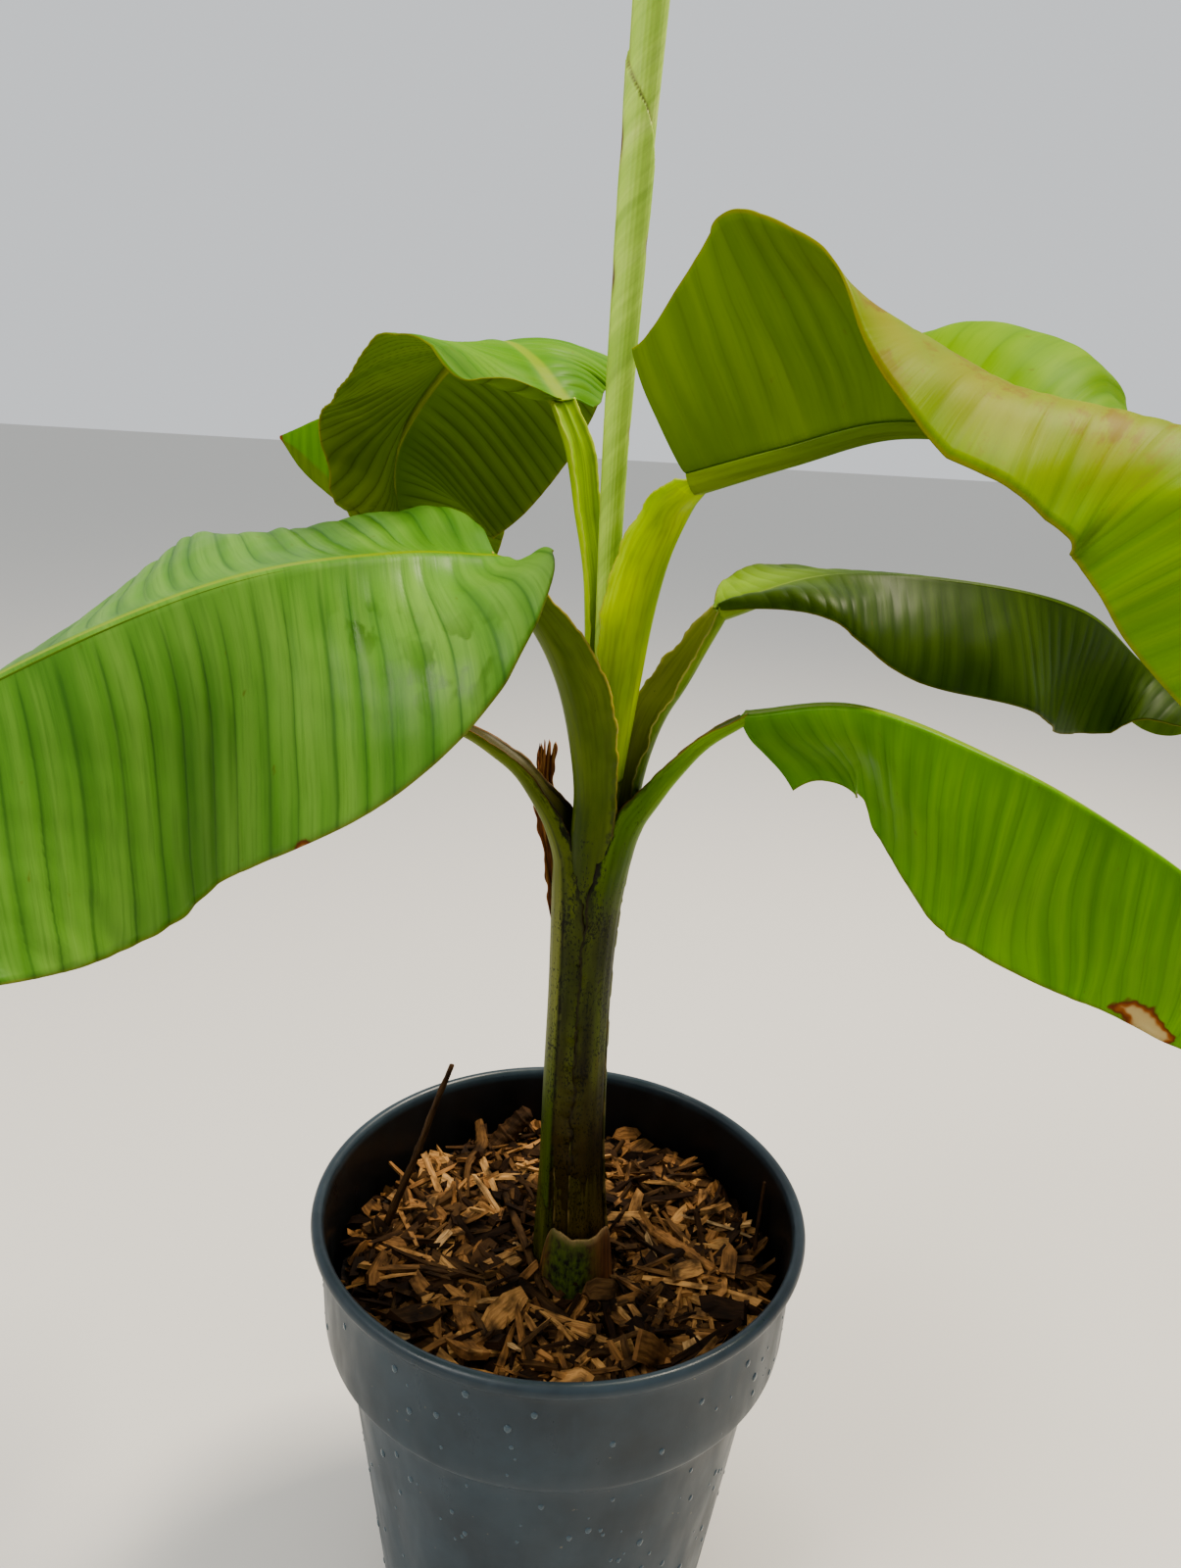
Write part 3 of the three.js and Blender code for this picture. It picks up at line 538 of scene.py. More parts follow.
def add_node(tree, kind, inputs=(), output=0, stops=None, **settings):
    """Adds a node and gives one of its outputs. inputs holds values or other nodes' outputs
    for its sockets, in their order or by name or number: a hex colour is made linear, and
    None leaves a socket as it is. stops holds the places and colours of a colour ramp, and
    settings the node's own properties."""
    node = tree.nodes.new("ShaderNode" + kind)
    for key, value in settings.items():
        setattr(node, key, value)
    if stops:
        ramp = node.color_ramp
        while len(ramp.elements) < len(stops):
            ramp.elements.new(0.5)
        for element, (place, colour) in zip(ramp.elements, stops):
            element.position = place
            element.color = linear(colour) if isinstance(colour, str) else colour
    for key, value in inputs.items() if isinstance(inputs, dict) else enumerate(inputs):
        if isinstance(value, bpy.types.NodeSocket):
            tree.links.new(value, node.inputs[key])
        elif value is not None:
            node.inputs[key].default_value = linear(value) if isinstance(value, str) else value
    return node.outputs[output] if node.outputs else None


def new_material(name, preview):
    """A material with an empty node tree, and add_node bound to that tree."""
    material = bpy.data.materials.new(name)
    material.use_nodes = True
    material.diffuse_color = linear(preview)
    material.node_tree.nodes.clear()
    return material, functools.partial(add_node, material.node_tree)


def layered(node, colour, *layers):
    """A colour with layers painted over it, each a share and a colour."""
    for share, layer in layers:
        colour = node("Mix", {0: share, 6: colour, 7: layer}, 2, data_type="RGBA")
    return colour


def skin_coordinates(node, scale):
    """The piece's own map, in metres across and along, stretched by scale. A noise of scale
    n on it has features about 1000 / n millimetres wide."""
    return node("Mapping", {"Vector": node("UVMap", uv_map="skin"), "Scale": scale})


def lay_surface(node, colour, relief, sockets):
    """Closes a material: its shader over the colour, with the other sockets' values, and a
    relief of (height, strength, depth in metres)."""
    bump = node("Bump", dict(zip(("Height", "Strength", "Distance"), relief)))
    shader = node("BsdfPrincipled", {"Base Color": colour, "Normal": bump, **sockets})
    node("OutputMaterial", {"Surface": shader})


def mould_dots(node, level):
    """Share of black mould: specks and short dashes under 1 mm, gathered in clusters. It
    thins out as the level rises."""
    dots = node("TexNoise", [skin_coordinates(node, (1, 0.45, 1)), None, 1100, 4, 0.7])
    cluster = node("TexNoise", [skin_coordinates(node, (1, 0.3, 1)), None, 120, 3])
    dots = node("Math", [cluster, 0.45, dots], **PRODUCT_PLUS)
    dots = node("Math", [dots, level], operation="SUBTRACT")
    return node("MapRange", [dots, 0, 0.05, 0, 0.85])


def leaf_tissue(name, leaf):
    """Live banana leaf: thin waxy tissue, satin above and duller below, ribbed by parallel
    veins. Light comes through it yellow-green."""
    material, node = new_material(name, leaf["upper"][0])
    # Fine veins lie about 1.2 mm apart and run far across the blade.
    fine = node("TexNoise", [skin_coordinates(node, (1, 0.03, 1)), None, 820, 3, 0.6])
    # Main veins lie 4 to 9 mm apart.
    main = node("TexNoise", [skin_coordinates(node, (1, 0.02, 1)), None, 190, 1])
    # Bands of stronger and weaker growth run along the veins, some 25 mm wide.
    broad = node("TexNoise", [skin_coordinates(node, (1, 0.18, 1)), None, 40, 3])
    cloud = node("TexNoise", [skin_coordinates(node, (1, 1, 1)), None, 14, 3])
    under, reach, rib, scorch, fade, painted_sunlight, wet, fold = [
        node("Attribute", output="Fac", attribute_name=key)
        for key in ("under", "reach", "rib", "scorch", "fade", "painted_sunlight", "wet", "fold")]
    # The folds are painted: a painted highlight on the crests, painted shade in the valleys
    # and a fine line of painted shade along the bottom of each valley.
    fold = node("Math", [fold, 0.5], operation="PINGPONG")
    off_rib = node("MapRange", [rib, 1.5, 6.0])
    line, valley_shade, crest_highlight = [
        node("Math", [node("MapRange", [fold, start, end, 0, most]), off_rib], **HELD_PRODUCT)
        for start, end, most in ((0.06, 0.01, min(0.6, 0.45 * leaf["pleat"])),
                                 (0.16, 0.03, min(0.32, 0.26 * leaf["pleat"])),
                                 (0.2, 0.42, 0.3))]

    def face_colour(plain, light, dark):
        banded = node("ValToRGB", [broad], stops=[(0.32, dark), (0.52, plain), (0.72, light)])
        return layered(node, banded, (0.4, plain), (valley_shade, dark), (crest_highlight, light), (line, dark))

    colour = layered(node, face_colour(*leaf["upper"]), (under, face_colour(*leaf["under"])))
    light, dark = [layered(node, leaf["upper"][k], (under, leaf["under"][k])) for k in (1, 2)]
    vein = node("MapRange", [main, 0.55, 0.68, 0, 0.30])
    upper = node("Math", [1.0, under], operation="SUBTRACT")
    near_rib = node("Math", [node("MapRange", [rib, 1.0, 0.5, 0, 0.9]), upper], **HELD_PRODUCT)
    # Ageing tissue goes yellow first between the veins, then brown in small marks.
    yellow = node("Math", [cloud, 1.0, 0.25], **PRODUCT_PLUS)
    yellow = node("Math", [yellow, fade], **HELD_PRODUCT)
    yellow = node("Math", [yellow, upper], **HELD_PRODUCT)
    marks = node("TexNoise", [skin_coordinates(node, (1, 0.4, 1)), None, 85, 5, 0.7])
    marks = node("MapRange", [marks, 0.53, 0.62, 0, 0.8])
    marks = node("Math", [marks, yellow], **HELD_PRODUCT)
    # Sap and water leave dark, glossy blotches.
    blotch = node("TexNoise", [skin_coordinates(node, (1, 0.6, 1)), None, 130, 2])
    blotch = node("MapRange", [blotch, 0.5, 0.56, 0, 0.6])
    blotch = node("Math", [blotch, wet], **HELD_PRODUCT)
    specks = node("TexNoise", [skin_coordinates(node, (1, 0.55, 1)), None, 210, 2])
    dead = node("ValToRGB", [scorch], stops=[
        (0.0, "#5e8a1e"), (0.26, "#6e2f14"), (0.40, "#a0602a"), (0.52, "#cdb67c"),
        (1.0, "#d6c58c")])
    dead_share = node("MapRange", [scorch, 0.14, 0.26])
    colour = layered(
        node, colour, (vein, light),
        (node("MapRange", [fine, 0.52, 0.34, 0, 0.35]), dark),
        (node("MapRange", [cloud, 0.52, 0.8, 0, 0.25]), light),
        # Painted sunlight: a paler patch where the light falls on leaf 5's lobe.
        (painted_sunlight, "#8fb42c"),
        # The rib shows above as a pale yellow-green line.
        (near_rib, "#94ae20"),
        (yellow, "#9d9414"), (marks, "#8a5a24"), (blotch, "#3c6414"),
        # The margin dries to a thin straw-brown line about 1 mm wide.
        (node("MapRange", [reach, 0.984, 0.997, 0, 0.5]), "#a08a3c"),
        (node("MapRange", [specks, 0.73, 0.77, 0, 0.5]), "#6b5a1e"),
        (dead_share, dead))
    # Old rain dries to blotches where the wax is duller.
    rough = node("MapRange", [cloud, 0.4, 0.65, leaf["gloss"], leaf["gloss"] + 0.12])
    rough = node("Math", [under, 0.18, rough], **PRODUCT_PLUS)
    rough = node("Math", [blotch, -0.3, rough], **PRODUCT_PLUS)
    relief = node("Math", [fine, 0.5, main], **PRODUCT_PLUS)
    bump = node("Bump", {"Height": relief, "Strength": 0.45, "Distance": 0.0004})
    shader = node("BsdfPrincipled", {
        "Base Color": colour, "Roughness": rough, "Normal": bump, "IOR": 1.42,
        "Specular IOR Level": leaf["shine"]})
    # The light that comes through also takes the painted shade of the valleys.
    lit = layered(
        node, leaf["glow"], (vein, leaf["upper"][1]),
        (node("Math", [valley_shade, 0.6], **HELD_PRODUCT), leaf["under"][0]),
        (line, leaf["under"][2]), (yellow, "#a89a10"), (marks, "#7a4a1c"),
        (dead_share, "#b08a48"))
    through = node("BsdfTranslucent", {"Color": lit})
    node("OutputMaterial", {"Surface": node("MixShader", [0.36, shader, through])})
    return material


def sheath_skin(name, plain, light, channel, dry, brown):
    """Leaf stalk and its sheath: fleshy, waxy and streaked along its length. Low on the stem
    it is mottled olive and black and then brown, the channel is duller, and the margins dry
    to papery brown and turn black at the fork."""
    material, node = new_material(name, plain)
    # Streaks are some 1.4 mm wide, and the mottling 14 mm.
    streak = node("TexNoise", [skin_coordinates(node, (1, 0.05, 1)), None, 700, 3])
    broad = node("TexNoise", [skin_coordinates(node, (1, 0.25, 1)), None, 70, 4])
    level, margin, inner, panel, seam = [
        node("Attribute", output="Fac", attribute_name=key)
        for key in ("level", "margin", "inner", "panel", "seam")]
    fleshy = node("ValToRGB", [broad], stops=[(0.35, plain), (0.68, light)])
    low = node("MapRange", [level, 0.462, 0.392])
    mottled = node("ValToRGB", [broad], stops=[
        (0.34, "#2c300c"), (0.50, "#454c12"), (0.64, "#59631a"), (0.78, "#625424")])
    strip = layered(node, "#4a5a18", (node("MapRange", [level, 0.29, 0.35]), "#7f8338"))
    mottled = layered(node, mottled, (node("Math", [panel, 1.1], **HELD_PRODUCT), strip))
    # The sheaths turn brown from the middle of the stem down, the outer ones lower.
    foot = node("Math", [broad, 0.09, level], **PRODUCT_PLUS)
    foot = node("Math", [panel, 0.12, foot], **PRODUCT_PLUS)
    papery = node("ValToRGB", [broad], stops=[
        (0.3, "#24170a"), (0.5, "#3d2c12"), (0.72, "#5a4620")])
    # Mould grows thickest low down, and thins out on the outer sheaths.
    clean = node("MapRange", [low, 0, 1, 0.965 - 0.06 * brown, 0.765])
    clean = node("Math", [panel, 0.03, clean], **PRODUCT_PLUS)
    ragged = node("Math", [broad, 0.10, margin], **PRODUCT_PLUS)
    # Burnt patches follow the margins at the fork.
    fork = node("Math", [node("MapRange", [level, 0.475, 0.435]),
                         node("MapRange", [level, 0.39, 0.41])], **HELD_PRODUCT)
    burnt = node("TexNoise", [skin_coordinates(node, (1, 0.5, 1)), None, 260, 5, 0.7])
    burnt = node("Math", [burnt, 0.9, margin], **PRODUCT_PLUS)
    burnt = node("MapRange", [burnt, 1.27, 1.38, 0, 0.92 * brown])
    colour = layered(
        node, fleshy, (inner, channel), (low, mottled),
        (node("MapRange", [foot, 0.395, 0.325, 0, 0.9]), papery),
        (node("MapRange", [streak, 0.45, 0.72, 0, 0.3]), "#2b3208"),
        (mould_dots(node, clean), "#0f0e07"),
        (node("MapRange", [ragged, 0.985, 1.03, 0, 0.85]),
         layered(node, dry, (low, "#2a2010"))),
        (node("Math", [burnt, fork], **HELD_PRODUCT), "#140d07"),
        (node("Math", [seam, low], **HELD_PRODUCT), "#141006"))
    lay_surface(node, colour, (streak, 0.4, 0.0004), {
        "Roughness": 0.45, "IOR": 1.42, "Specular IOR Level": 0.25, "Subsurface Weight": 0.1,
        "Subsurface Radius": (0.6, 1.0, 0.1), "Subsurface Scale": 0.003})
    return material


def stem_skin(name, settings):
    """Banana pseudostem: old leaf sheaths wrapped round each other, waxy olive above and
    dried to brown below, mottled and dotted with black."""
    material, node = new_material(name, "#3d4714")
    height, panel, seam, rim = [node("Attribute", output="Fac", attribute_name=key)
                                for key in ("height", "panel", "seam", "rim")]
    # The mottling is some 9 mm wide, and the fibres 1.1 mm.
    wander = node("TexNoise", [skin_coordinates(node, (1, 0.14, 1)), None, 110, 5])
    streak = node("TexNoise", [skin_coordinates(node, (1, 0.03, 1)), None, 900, 3])
    green = node("ValToRGB", [wander], stops=[
        (0.32, (*settings.shade, 1)), (0.5, (*settings.green, 1)), (0.72, "#66692a")])
    brown = node("ValToRGB", [wander], stops=[
        (0.3, "#20130a"), (0.5, (*settings.brown, 1)), (0.75, "#5c4622")])
    # The inner sheaths turn brown from the middle of the stem down, the outer ones lower.
    line = node("Math", [panel, 0.42, height], **PRODUCT_PLUS)
    line = node("Math", [wander, 0.25, line], **PRODUCT_PLUS)
    colour = layered(
        node, green, (node("MapRange", [line, 0.74, 0.36]), brown),
        (mould_dots(node, 0.765), "#0f0d08"),
        (node("MapRange", [streak, 0.5, 0.75, 0, 0.4]), "#1d180b"),
        (seam, "#120d07"), (rim, "#8a7446"))
    lay_surface(node, colour, (streak, 0.5, 0.0006),
                {"Roughness": 0.5, "IOR": 1.42, "Specular IOR Level": 0.2})
    return material


def rolled_tissue(name):
    """New banana leaf, still rolled: young tissue under a pale bloom of wax, matt, with veins
    that wind round it, a few dry nicks along its edge, and painted shadow beside that edge
    where it lies on itself."""
    material, node = new_material(name, "#9db86a")
    # Fine veins lie some 1.6 mm apart, and the bloom of wax is rubbed in 14 mm patches.
    veins = node("TexNoise", [skin_coordinates(node, (1, 0.06, 1)), None, 620, 3])
    bloom = node("TexNoise", [skin_coordinates(node, (1, 0.3, 1)), None, 70, 4])
    # Broad veins wind round the spear 4 to 8 mm apart.
    wide = node("TexNoise", [skin_coordinates(node, (1, 0.05, 1)), None, 150, 2])
    seam, nick = [node("Attribute", output="Fac", attribute_name=key)
                  for key in ("seam", "nick")]
    colour = layered(
        node, node("ValToRGB", [bloom], stops=[
            (0.3, "#8fb23a"), (0.55, "#a8c64e"), (0.8, "#bcd06c")]),
        (node("MapRange", [wide, 0.46, 0.36, 0, 0.5]), "#7c9c34"),
        (node("MapRange", [veins, 0.4, 0.75, 0, 0.4]), "#7f9c3a"),
        # The seam is painted shadow, dark beside the step where the blade's edge lies on itself.
        (seam, "#66602a"), (nick, "#5b3c1c"))
    lay_surface(node, colour, (veins, 0.3, 0.0004), {
        "Roughness": 0.6, "Subsurface Weight": 0.15, "Subsurface Radius": (0.6, 1.0, 0.25),
        "Subsurface Scale": 0.003})
    return material


def moulded_plastic(name, settings):
    """Injection-moulded polypropylene: blue-grey and satin, with drip marks, dried soil and
    fine scuffs from the garden. Inside, the wall is painted nearly black, part soil and
    part painted shade."""
    material, node = new_material(name, "#33434c")
    place = node("TexCoord", output="Object")
    # Drips are some 14 mm wide, the haze 40 mm, flecks of soil 3 mm and the grain 0.7 mm.
    drips = node("TexNoise", [node("Mapping", {"Vector": place, "Scale": (1, 1, 0.3)}), None,
                              70, 5])
    haze = node("TexNoise", [place, None, 24, 6, 0.6])
    flecks = node("TexNoise", [place, None, 330, 2])
    grain = node("TexNoise", [place, None, 1500, 2])
    inside = node("Attribute", output="Fac", attribute_name="inside")
    # Inside, the wall is painted nearly black: part soil stains, part painted shade.
    soil_and_shade = node("Math", [haze, 0.3, 0.75], **PRODUCT_PLUS)
    colour = layered(
        node, node("ValToRGB", [haze], stops=[
            (0.3, "#202b32"), (0.5, (*settings.colour, 1)), (0.75, "#34434c")]),
        (node("MapRange", [drips, 0.58, 0.8, 0, 0.2]), "#5a6870"),
        (node("MapRange", [flecks, 0.745, 0.775, 0, 0.45]), "#8f8467"),
        (node("Math", [inside, soil_and_shade], operation="MULTIPLY"), "#110d0a"))
    lay_surface(node, colour, (grain, 0.12, 0.0002), {
        "Roughness": node("MapRange", [drips, 0.3, 0.75, 0.26, 0.5]), "IOR": 1.49})
    return material


def water_film(name):
    """Water beads on the plastic: as dark as what they sit on, and very smooth."""
    material, node = new_material(name, "#3a4a52")
    shader = node("BsdfPrincipled", {
        "Base Color": "#3d4e57", "Roughness": 0.05, "IOR": 1.33, "Coat Weight": 0.6})
    node("OutputMaterial", {"Surface": shader})
    return material


def split_wood(name, settings):
    """Chipped conifer wood and bark: torn along the grain, from pale tan to dark brown."""
    material, node = new_material(name, "#8a5a33")
    # The grain is some 0.7 mm wide, and the dark patches 11 mm: damp stains, and painted
    # shade between the chips.
    tone = node("Attribute", output="Fac", attribute_name="tone")
    grain = node("TexNoise", [skin_coordinates(node, (1, 0.08, 1)), None, 1400, 3])
    damp_and_shade = node("TexNoise", [node("TexCoord", output="Object"), None, 90, 4])
    colour = node("ValToRGB", [tone], stops=[
        (0.0, "#1a110a"), (0.22, (*settings.dark_wood, 1)), (0.48, "#62482c"),
        (0.70, (*settings.pale_wood, 1)), (0.88, "#c89c66"), (1.0, "#dcc298")])
    shade = node("MapRange", [grain, 0.4, 0.65, 0, 0.55])
    colour = node("Mix", {0: shade, 6: colour, 7: "#4a2c16"}, 2, data_type="RGBA",
                  blend_type="MULTIPLY")
    # Dark patches over the chips: damp stains and painted shade.
    colour = layered(node, colour, (node("MapRange", [damp_and_shade, 0.46, 0.66, 0, 0.8]), "#1a110a"))
    lay_surface(node, colour, (grain, 0.6, 0.0006),
                {"Roughness": 0.72, "Specular IOR Level": 0.15})
    return material


def moist_compost(name):
    """Moist potting compost: nearly black crumbs of peat and fine bark."""
    material, node = new_material(name, "#1b120b")
    # Crumbs are some 2.4 mm wide.
    crumbs = node("TexNoise", [node("TexCoord", output="Object"), None, 420, 5])
    colour = node("ValToRGB", [crumbs], stops=[
        (0.35, "#0d0805"), (0.6, "#24170d"), (0.8, "#4a3019")])
    lay_surface(node, colour, (crumbs, 1.0, 0.002), {"Roughness": 0.8})
    return material


def dry_fibre(name):
    """Dead leaf sheath: papery, brown and streaked along its fibres."""
    material, node = new_material(name, "#8a5a33")
    # Fibres are some 1.1 mm wide.
    fibres = node("TexNoise", [skin_coordinates(node, (1, 0.05, 1)), None, 900, 4])
    colour = node("ValToRGB", [fibres], stops=[
        (0.3, "#3f2412"), (0.5, "#8a5128"), (0.7, "#c39056")])
    lay_surface(node, colour, (fibres, 0.7, 0.0006), {"Roughness": 0.75})
    return material


def cut_sheath_skin(name):
    """Stump of an old leaf: mottled green sides, and a tan rim where it was cut and dried."""
    material, node = new_material(name, "#55621f")
    rim, brown = [node("Attribute", output="Fac", attribute_name=key)
                  for key in ("rim", "brown")]
    # Dots of mould are some 2.4 mm wide, and the fibres 1.4 mm.
    dots = node("TexNoise", [skin_coordinates(node, (1, 0.6, 1)), None, 420, 5, 0.7])
    fibres = node("TexNoise", [skin_coordinates(node, (1, 0.08, 1)), None, 700, 3])
    green = node("ValToRGB", [dots], stops=[
        (0.40, "#4e5e1c"), (0.52, "#384512"), (0.60, "#13120a")])
    papery = node("ValToRGB", [fibres], stops=[(0.3, "#3a2110"), (0.6, "#7a4c26")])
    tan = node("ValToRGB", [dots], stops=[(0.35, "#6f5230"), (0.6, "#b3925e")])
    lay_surface(node, layered(node, green, (brown, papery), (rim, tan)),
                (fibres, 0.6, 0.0006), {"Roughness": 0.62})
    return material


def pale_floor(name, settings):
    """Matt pale studio floor."""
    material, node = new_material(name, "#d9d7d2")
    fine = node("TexNoise", [node("TexCoord", output="Object"), None, 60])
    lay_surface(node, (*settings.floor_colour, 1), (fine, 0.05, 0.001), {"Roughness": 0.85})
    return material


# Shapes

def step_levels(pot):
    """Heights of the foot and the head of the step under the pot's collar."""
    head = pot.height / MM - pot.collar_depth / MM
    return head - STEP_HEIGHT, head


def body_radius(z, pot):
    """The pot's outer radius on its tapered body, in millimetres."""
    foot = pot.foot_radius / MM
    return foot + (SHOULDER_RADIUS - foot) * z / step_levels(pot)[0]


def collar_radius(z, pot):
    """The pot's outer radius on its collar, which widens a little upwards."""
    return COLLAR_RADIUS + COLLAR_FLARE * (z - step_levels(pot)[1]) / COLLAR_RISE


def compost_height(x, y):
    """Height of the mulch: level at the stem, uneven towards the wall."""
    away = np.hypot(x, y)
    rise = smooth(FILL_FLAT_RADIUS, 2.2 * FILL_FLAT_RADIUS, away)
    return FILL_LEVEL + FILL_SWELL * rise * (0.55 + 0.45 * np.sin(x / 17) * np.cos(y / 21)
                                             + 0.3 * y / 120)


def pot_profile(pot):
    """Outline of the pot's wall from the middle of its foot, up the outside, over the
    rounded lip and down the inside, with every corner rounded."""
    height, wall, foot = pot.height / MM, pot.wall / MM, pot.foot_radius / MM
    step_foot, step_head = step_levels(pot)
    curve = np.linspace(0, math.pi / 2, 7)
    outside = [[foot - 22, 2.0], [foot - 20, 0.4], [foot - 18, 0.0]]
    outside += [[foot - 3 + 3 * math.sin(a), 3 - 3 * math.cos(a)] for a in curve]
    outside += [[body_radius(z, pot), z] for z in np.linspace(8, step_foot - 2, 16)]
    outside += [[SHOULDER_RADIUS + 1.2 * math.sin(a) ** 2, step_foot - 2 + 2 * math.sin(a)]
                for a in curve[2:5]]
    outside += [[SHOULDER_RADIUS + 1 + 8.6 * math.sin(a),
                 step_foot + 1 + 8 * (1 - math.cos(a))]
                for a in np.linspace(0.15, math.pi / 2, 9)]
    outside += [[collar_radius(z, pot), z]
                for z in np.linspace(step_head + 3, height - 13, 10)]
    outside += [[115.6 + 1.2 * (1 - math.cos(a)), height - 11 + 2.4 * math.sin(a)]
                for a in curve[1:5]]
    lip = np.linspace(-math.pi / 5, math.pi, 14)
    outside += [[117 + 3 * math.cos(a), height - 3.6 + 3.6 * math.sin(a)] for a in lip]
    inside = [[113.6, height - 6], [112.8, height - 11], [112.6, height - 16]]
    inside += [[collar_radius(z, pot) - 2.8, z]
               for z in np.linspace(height - 20, step_head + 1, 8)]
    inside += [[SHOULDER_RADIUS - wall + 7.4 * math.cos(a), step_head - 8.5 * math.sin(a)]
               for a in np.linspace(0.2, math.pi / 2, 6)]
    inside += [[body_radius(z, pot) - wall, z] for z in np.linspace(step_foot - 4, 8, 8)]
    inside += [[foot - wall - 4, 4.0]]
    return np.array(outside), np.array(inside)


def turned(profile, around, low_pole, high_pole):
    """Rings of a profile of radius and height carried once round the vertical axis."""
    turn = 2 * math.pi * np.arange(around) / around
    rings = np.stack([profile[:, :1] * np.cos(turn), profile[:, :1] * np.sin(turn),
                      np.broadcast_to(profile[:, 1:], (len(profile), around))], -1)
    run = np.concatenate([[0], np.cumsum(np.linalg.norm(np.diff(profile, axis=0), axis=1))])
    across = np.linspace(0, 2 * math.pi * profile[:, 0].max(), around + 1)
    return ringed(rings, ([0, 0, low_pole], [0, 0, high_pole]), across, run)


def blade_half(leaf, t, s, sign, rib_half):
    """Points of half a blade, over t along the rib and s from the rib to the margin. Each
    cross vein leaves the rib flat and square to it and is walked outwards in short steps, at
    a slope that runs smoothly through its values at the rib, halfway and at the margin, and
    leans forward by the sweep. The half ends in a lobe as wide as its base share."""
    half = "right" if sign > 0 else "left"
    roll = catmull(leaf["roll"], t)
    point, tangent, side, normal, _ = path_frames(leaf["rib"], t, leaf["heading"], roll)
    peak = math.log(0.5) / math.log(0.37)
    outline = np.maximum(np.sin(math.pi * t**peak).clip(0) ** 0.45, 0.02)
    lobe = leaf["base"][0 if sign < 0 else 1] * (1 - t) ** 4
    outline = (outline**6 + lobe**6) ** (1 / 6)
    width = leaf["half"] * outline * catmull(leaf[half + "_width"], t)
    for place, depth, span in leaf.get("nicks", {}).get(half, []):
        width = width * (1 - depth * np.exp(-(((t - place) / span) ** 2)))
    a, b, c = catmull(leaf[half], t).T[:, :, None]
    mid = ((s[1:] + s[:-1]) / 2)[None, :]
    slope = (a * (1 - mid) * (1 - 2 * mid) + b * 4 * mid * (1 - mid)
             + c * mid * (2 * mid - 1))
    slope = slope * smooth(0.6, 1.8, mid * width[:, None] / rib_half)
    slope = np.radians(slope)[..., None]
    lean = (catmull(leaf[half + "_sweep"], t)[:, None] * np.minimum(1, 2 * mid))[..., None]
    step = (sign * np.cos(slope) * side[:, None] + np.sin(slope) * normal[:, None]
            + lean * tangent[:, None])
    walk = np.cumsum(step * np.diff(s)[None, :, None] * width[:, None, None], axis=1)
    start = np.zeros((len(t), 1, 3))
    return point[:, None] + np.concatenate([start, walk], axis=1), width


def pleat_height(distance, away, width, leaf, seed):
    """Number and height of a blade's pleats: rounded ridges along the veins with narrow
    valleys, which wander in spacing, fade at the rib and soften at the margin."""
    share = away / np.maximum(width, 1)
    phase = distance / leaf["spacing"] + 0.45 * ripple(distance / 90, seed)
    ridge = np.abs(np.sin(math.pi * phase)) ** 0.7 - 0.6
    depth = leaf["pleat"] * (0.7 + 0.4 * ripple(distance / 70, seed + 1, away / 200))
    fade = smooth(0.03, 0.3, share) * (1 - 0.45 * smooth(0.85, 1, share))
    return phase, depth * ridge * fade * smooth(4, 30, width)


